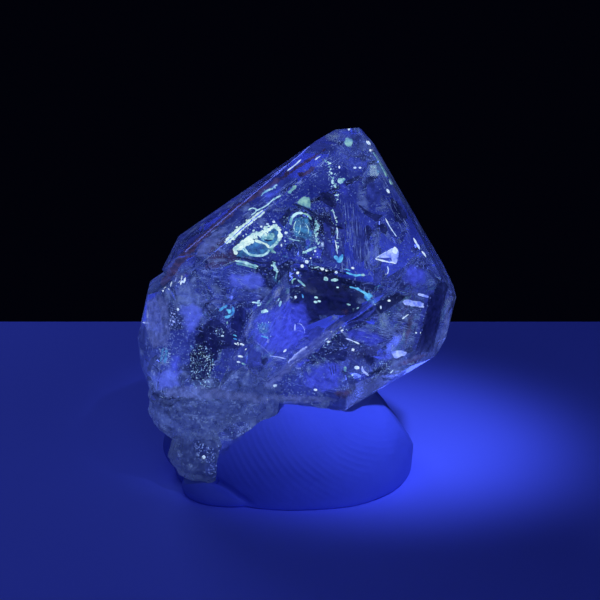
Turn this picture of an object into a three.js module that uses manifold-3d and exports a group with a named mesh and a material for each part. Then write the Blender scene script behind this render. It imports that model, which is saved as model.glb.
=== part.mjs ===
// Quartz crystal held upright in a lump of mounting putty.
// Millimetres, +Z up. The crystal's broad front face looks along -Y and up.

import * as THREE from "three";
import { ConvexGeometry } from "three/addons/geometries/ConvexGeometry.js";
import { ImprovedNoise } from "three/addons/math/ImprovedNoise.js";
import { mergeVertices } from "three/addons/utils/BufferGeometryUtils.js";
import Module from "manifold-3d";

const wasm = await Module();
wasm.setup();

// ---- driving dimensions, in millimetres and degrees ----

// Quartz's own angles. Crystals that grow in parallel share them.
const POINT_RISE = 38.2;    // how far a pointed end's faces look up or down
const BEVEL_RISE = 42.3;    // the same for the bevels between those faces
const STEEP_RISE = 22.3;    // the same for a steeper bevel next to the prism
const SHALLOW_RISE = 57.6;  // the same for a flatter chamfer at the lower end
const SHOULDER_RISE = 50.1; // the same for the shoulder between the front face and the left bevel
const SHOULDER_TURN = -43.3;
const LEAN = 12.5;          // the long axis leans towards +X

// A point on the main crystal's long axis, level with its widest corner.
const CENTRE = new THREE.Vector3(1.8, -1.0, 17.0);

// Faces are written as [turn, rise, reach]. Turn is degrees round from the front towards +X,
// rise is degrees up towards the point, and reach is the distance from CENTRE.
const FRONT_FACE_REACH = 2.6;
const MAIN_FACES = [
  [0, POINT_RISE, FRONT_FACE_REACH],
  [SHOULDER_TURN, SHOULDER_RISE, 5.02],
  [-90, BEVEL_RISE, 7.1],
  [90, BEVEL_RISE, 7.65],
  [-90, STEEP_RISE, 9.55],
  [120, POINT_RISE, 9.3],
  [-120, POINT_RISE, 8.4],
  [180, POINT_RISE, 9.9],
  [0, 0, 3.2],
  [60, 0, 8.9],
  [90, 0, 10.85],
  [120, 0, 11.4],
  [180, 0, 9.0],
  [-120, 0, 12.0],
  [-90, 0, 12.2],
  [-60, 0, 11.2],
  [0, -POINT_RISE, 2.7],
  [60, -POINT_RISE, 9.95],
  [120, -POINT_RISE, 10.1],
  [180, -POINT_RISE, 10.5],
  [-120, -POINT_RISE, 10.2],
  [-60, -POINT_RISE, 9.7],
  [0, -90, 10.9],
];

// The crystal in front on the right. Its prism face steps back at every ledge on the way down.
const RIGHT_FACES = [
  [0, POINT_RISE, 2.75],
  [-75, POINT_RISE, -3.5],
  [90, BEVEL_RISE, 7.65],
  [90, 0, 10.85],
  [180, 0, 3],
  [0, -POINT_RISE, 8.5],
  [60, -POINT_RISE, 10.3],
  [120, -POINT_RISE, 10.3],
  [90, -SHALLOW_RISE, 10.9],
];
const RIGHT_PRISM_REACH = 3.42;
const RIGHT_SIDE_REACH = 8.98;
const LEDGE_DEPTH = 0.12;
const LEDGE_LEVELS = [4.0, 5.3, 6.9, 8.9, 10.9];   // below CENTRE, along the long axis

// The crystal on the left that runs down into the broken stem.
const LEFT_FACES = [
  [0, POINT_RISE, 2.6],
  [90, BEVEL_RISE, -1.0],
  [-90, BEVEL_RISE, 5.94],
  [60, -10, -0.36],
  [0, 0, 5.8],
  [-60, 0, 11.73],
  [-90, 0, 12.35],
  [-120, 0, 12],
  [180, 0, 2],
  [0, -POINT_RISE, 11.2],
  [-90, -20, 14.4],
  [-90, -BEVEL_RISE, 15.3],
  [0, -90, 14.0],
];

// A low crystal on the back, half sunk in the main one.
const BACK_FACES = [
  [0, POINT_RISE, 0],
  [180, POINT_RISE, 4.6],
  [120, POINT_RISE, 2.6],
  [-120, POINT_RISE, 2.2],
  [180, 0, 9.6],
  [120, 0, 7.2],
  [-120, 0, 7.6],
  [0, 0, -3],
  [180, -POINT_RISE, 10.6],
  [120, -POINT_RISE, 9.5],
  [-120, -POINT_RISE, 9.8],
  [0, -90, 7.5],
];

// Small diamond pits in the front face: across it, along the long axis, and half the width.
const PIT_STRETCH = 1.4;
const PITS = [
  { across: 3.2, along: 3.0, size: 0.45 },
  { across: -9.1, along: -0.6, size: 0.5 },
  { across: 4.6, along: 0.8, size: 0.4 },
];

// The broken, frosted stem: two rough lumps, one above the other.
const STEM_LUMPS = [
  { at: new THREE.Vector3(-6.3, -3.0, 6.8), size: new THREE.Vector3(5.0, 3.9, 3.8), detail: 11 },
  { at: new THREE.Vector3(-6.7, -4.3, 3.0), size: new THREE.Vector3(2.9, 2.7, 2.4), detail: 8 },
];
const STEM_ROUGHNESS = 0.42;
const STEM_GRAIN = 1.9;        // the width of a typical bump
const FINE_BUMP_HEIGHT = 0.5;  // finer bumps, next to the typical ones
const FINE_BUMP_SCALE = 2.3;

// The putty: a squashed ball with a flat base, and a lip pushed out under the stem.
const PUTTY_CENTRE = new THREE.Vector3(-0.2, 0, 1.9);
const PUTTY_HALF_WIDTH = 9.45;
const PUTTY_HEIGHT = 5.6;           // above its centre
const PUTTY_SQUARENESS = 2.5;       // 2 is an ellipse, more is boxier
const PUTTY_SLOPE = 0.1;            // the top rises towards the back
const PUTTY_DENT = 0.25;            // the depth of the thumb marks
const PUTTY_DENT_SPREAD = 1.6;      // how many there are across it
const PUTTY_DETAIL = 12;            // how finely the ball is split
const LOBE_DETAIL = 8;
const LIP_CENTRE = new THREE.Vector3(-4.9, -4.8, 0.5);
const LIP_SIZE = new THREE.Vector3(3.9, 3.8, 1.6);
const LEFT_LOBE_CENTRE = new THREE.Vector3(-7.4, -0.4, 2.2);
const LEFT_LOBE_SIZE = new THREE.Vector3(3.1, 3.6, 2.4);
const SEAT_GAP = 0.3;

const SAME_POINT = 1e-5;      // corners closer than this are one
const NEARLY_ZERO = 1e-6;

// ---- geometry helpers ----

const lean = THREE.MathUtils.degToRad(LEAN);
const longAxis = new THREE.Vector3(Math.sin(lean), 0, Math.cos(lean));
const sideAxis = new THREE.Vector3(Math.cos(lean), 0, -Math.sin(lean));
const frontAxis = new THREE.Vector3(0, -1, 0);
const noise = new ImprovedNoise();

// A face's plane: its outward normal and its distance from CENTRE.
function plane([turn, rise, reach], extra = 0) {
  const around = THREE.MathUtils.degToRad(turn);
  const up = THREE.MathUtils.degToRad(rise);
  const normal = new THREE.Vector3()
    .addScaledVector(frontAxis, Math.cos(around) * Math.cos(up))
    .addScaledVector(sideAxis, Math.sin(around) * Math.cos(up))
    .addScaledVector(longAxis, Math.sin(up));
  return { normal, reach: reach + extra };
}

// The point where three planes meet, or null where two of them are nearly parallel.
function meetingPoint(first, second, third) {
  const across = new THREE.Vector3().crossVectors(second.normal, third.normal);
  const size = first.normal.dot(across);
  if (Math.abs(size) < NEARLY_ZERO) {
    return null;
  }
  return across.multiplyScalar(first.reach)
    .addScaledVector(new THREE.Vector3().crossVectors(third.normal, first.normal), second.reach)
    .addScaledVector(new THREE.Vector3().crossVectors(first.normal, second.normal), third.reach)
    .divideScalar(size);
}

// A closed triangle mesh as a solid that can be joined and cut.
function solid(geometry) {
  const bare = geometry.clone();
  bare.deleteAttribute("normal");
  bare.deleteAttribute("uv");
  const merged = mergeVertices(bare, SAME_POINT);
  return new wasm.Manifold(new wasm.Mesh({
    numProp: 3,
    vertProperties: new Float32Array(merged.attributes.position.array),
    triVerts: new Uint32Array(merged.index.array),
  }));
}

// The convex crystal that a list of faces encloses. Extra moves every face outwards.
function crystal(faces, extra = 0) {
  const planes = faces.map((face) => plane(face, extra));
  const corners = [];
  for (let i = 0; i < planes.length; i += 1) {
    for (let j = i + 1; j < planes.length; j += 1) {
      for (let k = j + 1; k < planes.length; k += 1) {
        const corner = meetingPoint(planes[i], planes[j], planes[k]);
        if (corner && planes.every((each) => each.normal.dot(corner) < each.reach + NEARLY_ZERO)) {
          corners.push(corner.add(CENTRE));
        }
      }
    }
  }
  return solid(new ConvexGeometry(corners));
}

// A ball pushed in and out by noise, then stretched to size.
function roughLump({ at, size, detail }, extra) {
  const ball = new THREE.IcosahedronGeometry(1, detail);
  const place = ball.attributes.position;
  const point = new THREE.Vector3();
  for (let i = 0; i < place.count; i += 1) {
    point.fromBufferAttribute(place, i).normalize();
    point.multiply(size);
    const spot = point.clone().add(at).divideScalar(STEM_GRAIN);
    const fine = spot.clone().multiplyScalar(FINE_BUMP_SCALE);
    const bump = noise.noise(spot.x, spot.y, spot.z)
      + FINE_BUMP_HEIGHT * noise.noise(fine.x, fine.y, fine.z);
    point.setLength(point.length() + STEM_ROUGHNESS * bump + extra).add(at);
    place.setXYZ(i, point.x, point.y, point.z);
  }
  return solid(ball);
}

// ---- the crystal ----

// The crystal on the right, one slice for each ledge.
function rightCrystal(extra) {
  return wasm.Manifold.union(LEDGE_LEVELS.map((level, i) => crystal([
    ...RIGHT_FACES,
    [0, 0, RIGHT_PRISM_REACH - i * LEDGE_DEPTH],
    [60, 0, RIGHT_SIDE_REACH - i * LEDGE_DEPTH / 2],
    [0, -90, level],
  ], extra)));
}

// A diamond cut half into the front face, its corners lined up with the long axis.
function pit({ across, along, size }) {
  const slope = THREE.MathUtils.degToRad(POINT_RISE);
  const forward = (FRONT_FACE_REACH - along * Math.sin(slope)) / Math.cos(slope);
  const diamond = new THREE.OctahedronGeometry(size);
  diamond.scale(1, 1, PIT_STRETCH);
  diamond.rotateX(-slope);
  diamond.rotateY(lean);
  const at = CENTRE.clone()
    .addScaledVector(sideAxis, across)
    .addScaledVector(frontAxis, forward)
    .addScaledVector(longAxis, along);
  diamond.translate(at.x, at.y, at.z);
  return solid(diamond);
}

// Everything that has grown together. Extra swells it, for the seat in the putty.
function crystalGroup(extra) {
  return wasm.Manifold.union([
    crystal(MAIN_FACES, extra),
    rightCrystal(extra),
    crystal(LEFT_FACES, extra),
    crystal(BACK_FACES, extra),
    ...STEM_LUMPS.map((each) => roughLump(each, extra)),
  ]);
}

// The whole stone, with its pits.
function quartzCrystal() {
  return crystalGroup(0).subtract(wasm.Manifold.union(PITS.map(pit)));
}

// ---- the putty ----

// A squashed ball: round seen from above, boxier from the side, with gentle thumb marks.
function puttyBody() {
  const ball = new THREE.IcosahedronGeometry(1, PUTTY_DETAIL);
  const place = ball.attributes.position;
  const point = new THREE.Vector3();
  for (let i = 0; i < place.count; i += 1) {
    point.fromBufferAttribute(place, i).normalize();
    const flat = Math.hypot(point.x, point.y);
    const size = (flat ** PUTTY_SQUARENESS + Math.abs(point.z) ** PUTTY_SQUARENESS)
      ** (-1 / PUTTY_SQUARENESS);
    const spot = point.clone().multiplyScalar(PUTTY_DENT_SPREAD);
    const dent = PUTTY_DENT * noise.noise(spot.x + 3, spot.y, spot.z);
    point.multiplyScalar(size);
    point.set(
      point.x * (PUTTY_HALF_WIDTH + dent),
      point.y * (PUTTY_HALF_WIDTH + dent),
      point.z * (PUTTY_HEIGHT + dent),
    );
    point.z += PUTTY_SLOPE * point.y * Math.max(0, point.z / PUTTY_HEIGHT);
    point.add(PUTTY_CENTRE);
    place.setXYZ(i, point.x, point.y, point.z);
  }
  return solid(ball);
}

// A smooth lobe of putty.
function smoothLump(at, size) {
  const ball = new THREE.IcosahedronGeometry(1, LOBE_DETAIL);
  ball.scale(size.x, size.y, size.z);
  ball.translate(at.x, at.y, at.z);
  return solid(ball);
}

// The putty, with a seat pressed into it by the stone and cut off flat on the ground.
function mountingPutty() {
  return puttyBody()
    .add(smoothLump(LIP_CENTRE, LIP_SIZE))
    .add(smoothLump(LEFT_LOBE_CENTRE, LEFT_LOBE_SIZE))
    .subtract(crystalGroup(SEAT_GAP))
    .trimByPlane([0, 0, 1], 0);
}

// A solid as a named mesh with a material of its own.
function namedMesh(name, shape, material) {
  const mesh = shape.getMesh();
  const geometry = new THREE.BufferGeometry();
  geometry.setAttribute("position", new THREE.BufferAttribute(mesh.vertProperties, 3));
  geometry.setIndex(new THREE.BufferAttribute(mesh.triVerts, 1));
  geometry.computeVertexNormals();
  const result = new THREE.Mesh(geometry, material);
  result.name = name;
  return result;
}

const quartz = new THREE.MeshStandardMaterial({ color: 0x8f9ff0, roughness: 0.05, metalness: 0 });
const putty = new THREE.MeshStandardMaterial({ color: 0x5f70e0, roughness: 0.8, metalness: 0 });

const specimen = new THREE.Group();
specimen.add(namedMesh("quartz_crystal", quartzCrystal(), quartz));
specimen.add(namedMesh("mounting_putty", mountingPutty(), putty));

// The origin is on the ground, under the middle of the whole specimen.
const middle = new THREE.Box3().setFromObject(specimen).getCenter(new THREE.Vector3());
specimen.children.forEach((mesh) => mesh.geometry.translate(-middle.x, -middle.y, 0));

export default specimen;
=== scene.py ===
"""Petroleum quartz crystal on a lump of mounting putty, lit by a violet-blue lamp.

Lengths are in millimetres until a mesh is made, which turns them into metres.
The stone's long axis leans towards +X, and its broad front face looks along -Y and up.
A pixel is a pixel of the photograph, across and then down.
"""
import math
import random

import bmesh
import bpy
import numpy as np
from mathutils import Matrix, Vector, noise
from mathutils.bvhtree import BVHTree
from mathutils.geometry import delaunay_2d_cdt


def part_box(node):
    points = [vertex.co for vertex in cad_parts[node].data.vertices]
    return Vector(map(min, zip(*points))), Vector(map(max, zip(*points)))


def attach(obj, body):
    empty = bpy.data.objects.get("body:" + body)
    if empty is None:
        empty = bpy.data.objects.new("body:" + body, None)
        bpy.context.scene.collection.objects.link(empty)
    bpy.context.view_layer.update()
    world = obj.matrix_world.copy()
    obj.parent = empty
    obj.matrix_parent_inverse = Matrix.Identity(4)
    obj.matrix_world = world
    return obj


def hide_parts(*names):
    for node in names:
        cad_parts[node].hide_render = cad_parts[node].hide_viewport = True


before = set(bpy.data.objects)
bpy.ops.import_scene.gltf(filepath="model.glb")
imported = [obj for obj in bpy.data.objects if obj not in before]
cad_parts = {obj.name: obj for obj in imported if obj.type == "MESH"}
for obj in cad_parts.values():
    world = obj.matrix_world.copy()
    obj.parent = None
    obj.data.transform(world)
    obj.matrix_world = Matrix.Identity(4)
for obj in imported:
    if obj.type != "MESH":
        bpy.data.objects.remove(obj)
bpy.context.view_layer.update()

MM = 0.001
LEAN = math.radians(12.5)
LONG_AXIS = Vector((math.sin(LEAN), 0, math.cos(LEAN)))
SIDE_AXIS = Vector((math.cos(LEAN), 0, -math.sin(LEAN)))
FRONT_AXIS = Vector((0, -1, 0))
QUARTZ_IOR = 1.544


# ---- camera ----

PHOTO_SIZE = 600           # pixels across and down
MIDDLE = PHOTO_SIZE / 2
FOCAL_PX = 2210            # focal length in pixels
PX = 1 / 13.0              # millimetres to a pixel, at the stone
CAMERA_TARGET = Vector((0.15, -0.05, 13.8))
CAMERA_DISTANCE = 170
CAMERA_RISE = math.radians(16)
SENSOR = 36
CAMERA_FORWARD = Vector((0, math.cos(CAMERA_RISE), -math.sin(CAMERA_RISE)))
CAMERA_UP = Vector((0, math.sin(CAMERA_RISE), math.cos(CAMERA_RISE)))
CAMERA_RIGHT = Vector((1, 0, 0))
CAMERA_PLACE = CAMERA_TARGET - CAMERA_DISTANCE * CAMERA_FORWARD


def make_camera():
    data = bpy.data.cameras.new("camera")
    data.sensor_width = SENSOR
    data.lens = FOCAL_PX / PHOTO_SIZE * SENSOR
    data.clip_start = MM
    camera = bpy.data.objects.new("camera", data)
    camera.location = CAMERA_PLACE * MM
    camera.rotation_mode = "QUATERNION"
    camera.rotation_quaternion = CAMERA_FORWARD.to_track_quat("-Z", "Y")
    bpy.context.scene.collection.objects.link(camera)
    bpy.context.scene.camera = camera


def photo_ray(u, v):
    """The way from the camera through a pixel, for each millimetre straight ahead."""
    return (CAMERA_FORWARD + CAMERA_RIGHT * (u - MIDDLE) / FOCAL_PX
            + CAMERA_UP * (MIDDLE - v) / FOCAL_PX)


def pixel_of(point):
    """The pixel where a point, in millimetres, is seen."""
    away = point - CAMERA_PLACE
    reach = away.dot(CAMERA_FORWARD)
    return (MIDDLE + FOCAL_PX * away.dot(CAMERA_RIGHT) / reach,
            MIDDLE - FOCAL_PX * away.dot(CAMERA_UP) / reach)


# ---- helpers ----

def add_object(name, mesh, material_names=()):
    """An object in the scene, with its materials."""
    made = bpy.data.objects.new(name, mesh)
    bpy.context.scene.collection.objects.link(made)
    for each in material_names:
        mesh.materials.append(bpy.data.materials[each])
    return made


def clamped(value, low=0):
    """The value, kept between a limit and 1."""
    return min(max(value, low), 1)


def layered(point, layers, start=0):
    """The height of noise at a point, in layers that each have a height and a size."""
    return sum((height * noise.noise(point / size) for height, size in layers), start)


def new_material(name):
    """The node tree and the Principled shader of a new material."""
    material = bpy.data.materials.new(name)
    material.use_nodes = True
    return material.node_tree, material.node_tree.nodes["Principled BSDF"]


def node(tree, kind, **inputs):
    """A new node, with values for some of its inputs."""
    made = tree.nodes.new(kind)
    for key, value in inputs.items():
        made.inputs[key.replace("_", " ")].default_value = value
    return made


def join(tree, source, output, target, socket):
    """Leads one node's output to another node's input."""
    tree.links.new(source.outputs[output], target.inputs[socket])


def sum_node(tree, kind, operation):
    """A node that calculates."""
    made = tree.nodes.new(kind)
    made.operation = operation
    return made


def noise_node(tree, **inputs):
    """Noise that is fixed to the object."""
    place = tree.nodes.new("ShaderNodeTexCoord")
    made = node(tree, "ShaderNodeTexNoise", **inputs)
    join(tree, place, "Object", made, "Vector")
    return made


def scaled(tree, source, output, given, wanted):
    """A node's value, scaled from a given range to the wanted one."""
    made = node(tree, "ShaderNodeMapRange", From_Min=given[0], From_Max=given[1],
                To_Min=wanted[0], To_Max=wanted[1])
    join(tree, source, output, made, "Value")
    return made


def two_tones(tree, source, tones, span=(0, 1)):
    """A colour that goes from one tone to the other over a span of some noise."""
    ramp = tree.nodes.new("ShaderNodeValToRGB")
    for element, tone, position in zip(ramp.color_ramp.elements, tones, span):
        element.position = position
        element.color = (*tone, 1)
    join(tree, source, "Fac", ramp, "Fac")
    return ramp


def roughen(tree, shader, source, strength, height):
    """Bumps the shader's surface by some noise, up to a height in millimetres."""
    bump = node(tree, "ShaderNodeBump", Strength=strength, Distance=height * MM)
    join(tree, source, "Fac", bump, "Height")
    join(tree, bump, "Normal", shader, "Normal")


# ---- materials ----

STONE_TINT = (0.78, 0.80, 0.86)
STONE_TINT_DENSITY = 110
# How bright the painted glow is that stands in for light scattered in the stone's haze.
GLOW_STRENGTH = 0.30
GLOW_GAIN = (0.1, 1.9)     # how much the painted glow varies from blotch to blotch
CRACK_WANDER = 1.4         # how far the bright painted cracks in the glow wander, in millimetres
CRACK_WIDTH = 0.05         # of the distance between them
PUTTY_TONES = ((0.19, 0.235, 0.64), (0.26, 0.30, 0.78))
FLOOR_COLOUR = (0.36, 0.40, 0.95)
FRACTURE_TONES = ((0.80, 0.85, 0.92), (0.97, 0.98, 1.0))
# The tones of the stone's own material, how much light it lets through, its least and most
# roughness, the scale of its grain, how high the grain is, and the scale of the haze's painted
# glow.
QUARTZES = {
    "clear_quartz": (((0.93, 0.95, 1.0), (0.97, 0.98, 1.0)), 1, (0.02, 0.10), 900, 0.004, 520),
    "frosted_quartz": (((0.66, 0.70, 0.66), (0.95, 0.97, 0.92)), 0.92, (0.20, 0.50), 2400, 0.05,
                       1400),
}


def haze_glow(tree, shader, scale):
    """Paints a faint glow on the stone's surface for the light in its haze, in broad blotches
    crossed by bright painted cracks.
    """
    painted_glow = tree.nodes.new("ShaderNodeAttribute")
    painted_glow.attribute_name = "painted_glow"
    place = tree.nodes.new("ShaderNodeTexCoord")
    broad = noise_node(tree, Scale=scale, Detail=9.0, Roughness=0.62, Distortion=1.2)
    gain = scaled(tree, broad, "Fac", (0.32, 0.68), GLOW_GAIN)
    bent = sum_node(tree, "ShaderNodeVectorMath", "MULTIPLY_ADD")
    bent.inputs[1].default_value = [CRACK_WANDER * MM] * 3
    join(tree, broad, "Color", bent, 0)
    join(tree, place, "Object", bent, 2)
    cracks = node(tree, "ShaderNodeTexVoronoi", Scale=scale * 1.3)
    cracks.feature = "DISTANCE_TO_EDGE"
    join(tree, bent, "Vector", cracks, "Vector")
    flash = scaled(tree, cracks, "Distance", (0, CRACK_WIDTH), (1, 0))
    both = sum_node(tree, "ShaderNodeMath", "MULTIPLY_ADD")
    join(tree, flash, "Result", both, 0)
    join(tree, gain, "Result", both, 1)
    join(tree, gain, "Result", both, 2)
    glow = sum_node(tree, "ShaderNodeVectorMath", "SCALE")
    join(tree, painted_glow, "Color", glow, 0)
    join(tree, both, "Value", glow, "Scale")
    join(tree, glow, "Vector", shader, "Emission Color")
    shader.inputs["Emission Strength"].default_value = GLOW_STRENGTH


def quartz_material(name, tones, transmission, roughness, grain, grain_height, glow_scale):
    """Quartz that lets light through, with a faint painted glow for its haze."""
    tree, shader = new_material(name)
    shader.inputs["Transmission Weight"].default_value = transmission
    shader.inputs["IOR"].default_value = QUARTZ_IOR
    speckle = noise_node(tree, Scale=grain, Detail=5.0, Roughness=0.6)
    gloss = scaled(tree, speckle, "Fac", (0.35, 0.7), roughness)
    join(tree, gloss, "Result", shader, "Roughness")
    shade = two_tones(tree, speckle, tones, (0.36, 0.64))
    join(tree, shade, "Color", shader, "Base Color")
    roughen(tree, shader, speckle, 1.0, grain_height)
    haze_glow(tree, shader, glow_scale)
    tint = node(tree, "ShaderNodeVolumeAbsorption", Color=(*STONE_TINT, 1),
                Density=STONE_TINT_DENSITY)
    join(tree, tint, "Volume", tree.nodes["Material Output"], "Volume")


def putty_material():
    """Dull, finely grained putty that light soaks into a little."""
    tree, shader = new_material("soft_putty")
    patches = noise_node(tree, Scale=260.0, Detail=4.0)
    join(tree, two_tones(tree, patches, PUTTY_TONES), "Color", shader, "Base Color")
    shader.inputs["Roughness"].default_value = 0.62
    shader.inputs["Subsurface Weight"].default_value = 0.15
    shader.inputs["Subsurface Radius"].default_value = (0.001, 0.001, 0.0015)
    roughen(tree, shader, noise_node(tree, Scale=2600.0, Detail=6.0), 0.6, 0.04)


def floor_material():
    _, shader = new_material("floor")
    shader.inputs["Base Color"].default_value = (*FLOOR_COLOUR, 1)
    shader.inputs["Roughness"].default_value = 0.7


def glow_material(name, tones, grain=2200, full=1.0, base=0.25, roughness=0.5):
    """Something in the stone that shines with its own light: glowing petroleum, painted glints and
    glows, and dark films of tar and of painted shade. Its edges are ragged and thin out.

    Base is how bright its own colour is beside its shine, and full how solid it is at most.
    """
    tree, shader = new_material(name)
    mottle = noise_node(tree, Scale=grain, Detail=4.0, Roughness=0.6)
    shine = two_tones(tree, mottle, tones, (0.38, 0.62))
    dim = sum_node(tree, "ShaderNodeVectorMath", "SCALE")
    dim.inputs["Scale"].default_value = base
    join(tree, shine, "Color", dim, 0)
    join(tree, dim, "Vector", shader, "Base Color")
    join(tree, shine, "Color", shader, "Emission Color")
    shader.inputs["Emission Strength"].default_value = 1.0
    shader.inputs["Roughness"].default_value = roughness
    solid = tree.nodes.new("ShaderNodeAttribute")
    solid.attribute_name = "solid"
    patchy = noise_node(tree, Scale=grain * 0.45, Detail=6.0, Roughness=0.65)
    total = sum_node(tree, "ShaderNodeMath", "ADD")
    join(tree, solid, "Fac", total, 0)
    join(tree, patchy, "Fac", total, 1)
    alpha = scaled(tree, total, "Value", (0.75, 1.15), (0, full))
    join(tree, alpha, "Result", shader, "Alpha")


def fracture_material():
    """The thin gap of a crack, which mirrors what comes in at a slant."""
    tree, shader = new_material("fracture")
    shader.inputs["Transmission Weight"].default_value = 1
    shader.inputs["IOR"].default_value = 1 / QUARTZ_IOR
    shader.inputs["Roughness"].default_value = 0.03
    ripple = noise_node(tree, Scale=700.0, Detail=4.0, Roughness=0.6)
    join(tree, two_tones(tree, ripple, FRACTURE_TONES), "Color", shader, "Base Color")
    roughen(tree, shader, ripple, 1.0, 0.03)


# What shines in the stone, as a dim and a bright colour: the glowing petroleum and the painted
# glints.
GLOWS = {
    "oil_gold": ((0.36, 0.62, 0.64), (0.80, 1.0, 0.90)),
    "oil_glow": ((0.14, 0.38, 0.48), (0.55, 0.88, 0.94)),
    "oil_green": ((0.08, 0.24, 0.34), (0.30, 0.60, 0.54)),
    "oil_teal": ((0.010, 0.040, 0.14), (0.05, 0.23, 0.50)),
    "oil_cyan": ((0.03, 0.18, 0.62), (0.16, 0.66, 0.98)),
    "white_glint": ((0.42, 0.62, 0.95), (0.85, 1.0, 1.0)),
    "lavender_glint": ((0.13, 0.20, 0.85), (0.45, 0.58, 1.0)),
}
# What shines faintly and is never quite solid.
FAINT_GLOWS = {
    "violet_glow": ((0.020, 0.030, 0.34), (0.052, 0.074, 0.72)),
    "blue_glow": ((0.045, 0.070, 0.40), (0.085, 0.125, 0.72)),
    "milk": ((0.026, 0.038, 0.15), (0.080, 0.110, 0.36)),
}
# What is darker than the stone: tar with painted shade, painted shade in its hollows, and a
# brownish dark.
SHADES = {
    "tar_and_shade": ((0.001, 0.002, 0.020), (0.006, 0.008, 0.075)),
    "hollow_shade": ((0.008, 0.013, 0.11), (0.020, 0.032, 0.26)),
    "brownish_dark": ((0.013, 0.009, 0.026), (0.048, 0.032, 0.095)),
}
# The scattered flakes and lines glow with painted light: sparks are painted glints, and veils,
# lines and wisps a faint painted glow. Their tones, the scale of their grain and how solid they
# are.
SCATTERED_GLOWS = {
    "spark": (((0.14, 0.34, 0.70), (0.50, 0.76, 1.0)), 1800, 1.0),
    "veil": (((0.03, 0.05, 0.20), (0.16, 0.25, 0.60)), 600, 1.0),
    "line": (((0.03, 0.05, 0.22), (0.15, 0.23, 0.60)), 1500, 1.0),
    "wisp": (((0.03, 0.05, 0.20), (0.13, 0.20, 0.50)), 1500, 0.45),
}


def make_materials():
    for name, makeup in QUARTZES.items():
        quartz_material(name, *makeup)
    putty_material()
    floor_material()
    fracture_material()
    for name, tones in GLOWS.items():
        glow_material(name, tones)
    for name, tones in FAINT_GLOWS.items():
        glow_material(name, tones, full=0.55)
    for name, tones in SHADES.items():
        glow_material(name, tones, base=0.1, roughness=0.3)
    for name, (tones, grain, full) in SCATTERED_GLOWS.items():
        glow_material(name, tones, grain, full)


# ---- the stone ----

WELD = 0.0005              # points closer than this are one
FLAT_ANGLE = math.radians(0.3)        # faces that meet at less than this are one
FACET_ANGLE = math.radians(3)         # more than this between two faces is a crystal's edge
SHARP_ANGLE = math.radians(14)        # more than this is shaded as an edge
FINE_EDGE = 0.28           # the longest edge of the fine mesh
EDGE_ROOM = 0.55           # a grid keeps this share of its spacing from an outline
# The stem's rough lumps: their middles and half sizes. Frost and roughness reach a share of
# those sizes from the middle.
STEM_LUMPS = (
    (Vector((-6.42, -3.05, 6.8)), Vector((5.0, 3.9, 3.8))),
    (Vector((-6.82, -4.35, 3.0)), Vector((2.9, 2.7, 2.4))),
)
ROUGH_REACH = 1.12
FROST_REACH = 1.10
FROST_REACH_RAGGED = 0.14
FROST_TOP = 8.2            # above this height the stone is clear
FROST_TOP_RAGGED = 1.2
FROST_PATCH = 1.3          # the size of the rags
WAIST = Vector((-4.9, -6.6, 4.4))     # rubble fills the stem out here
WAIST_FILL = 0.9
WAIST_REACH = 1.5
PRISM_FACING = 0.2         # a prism's faces look along the long axis by less than this
# The heights and sizes of the stem's rubble and of the waves on the faces, and the heights,
# spacings, lengths and seeds of the lines across the prism's faces.
RUBBLE = ((0.10, 0.8), (0.05, 0.33))
FACE_WAVES = ((0.010, 2.2), (0.003, 0.8))
STRIATIONS = ((0.006, 0.5, 4, 3), (0.012, 1.5, 6, 9))
STRIATION_SLANT = 0.7      # how much they vary from front to back, beside across


def in_stem(point):
    """Under 1 inside the rough lumps of the stem."""
    return min(
        Vector(((point - at).x / size.x, (point - at).y / size.y, (point - at).z / size.z)).length
        for at, size in STEM_LUMPS
    )


def split_edges(mesh, spacing):
    """Divides every edge into pieces no longer than the spacing, and leaves the faces whole."""
    for edge in list(mesh.edges):
        pieces = math.ceil(edge.calc_length() / spacing)
        start = edge.verts[0]
        for left in range(pieces, 1, -1):
            edge, start = bmesh.utils.edge_split(edge, start, 1 / left)
            edge = next(e for e in start.link_edges if e.other_vert(start) not in edge.verts)


def distance_to_outline(spots, outline):
    """How far each 2D spot is from the nearest edge of a closed outline."""
    start = outline[None, :, :]
    along = (np.roll(outline, -1, axis=0) - outline)[None, :, :]
    length = np.maximum((along ** 2).sum(axis=2), 1e-12)
    away = spots[:, None, :] - start
    share = np.clip((away * along).sum(axis=2) / length, 0, 1)[:, :, None]
    return np.sqrt(((away - share * along) ** 2).sum(axis=2)).min(axis=1)


def grid_over(outline, spacing):
    """Spots on a triangular grid over an outline, none of them close to its edge."""
    low, high = outline.min(axis=0), outline.max(axis=0)
    row_height = spacing * math.sqrt(3) / 2
    spots = [
        (low[0] + (i + 0.5 * (j % 2)) * spacing, low[1] + j * row_height)
        for j in range(1, int((high[1] - low[1]) / row_height) + 1)
        for i in range(int((high[0] - low[0]) / spacing) + 1)
    ]
    if not spots:
        return []
    spots = np.array(spots)
    keep = distance_to_outline(spots, outline) > EDGE_ROOM * spacing
    return [Vector(spot) for spot in spots[keep]]


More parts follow.
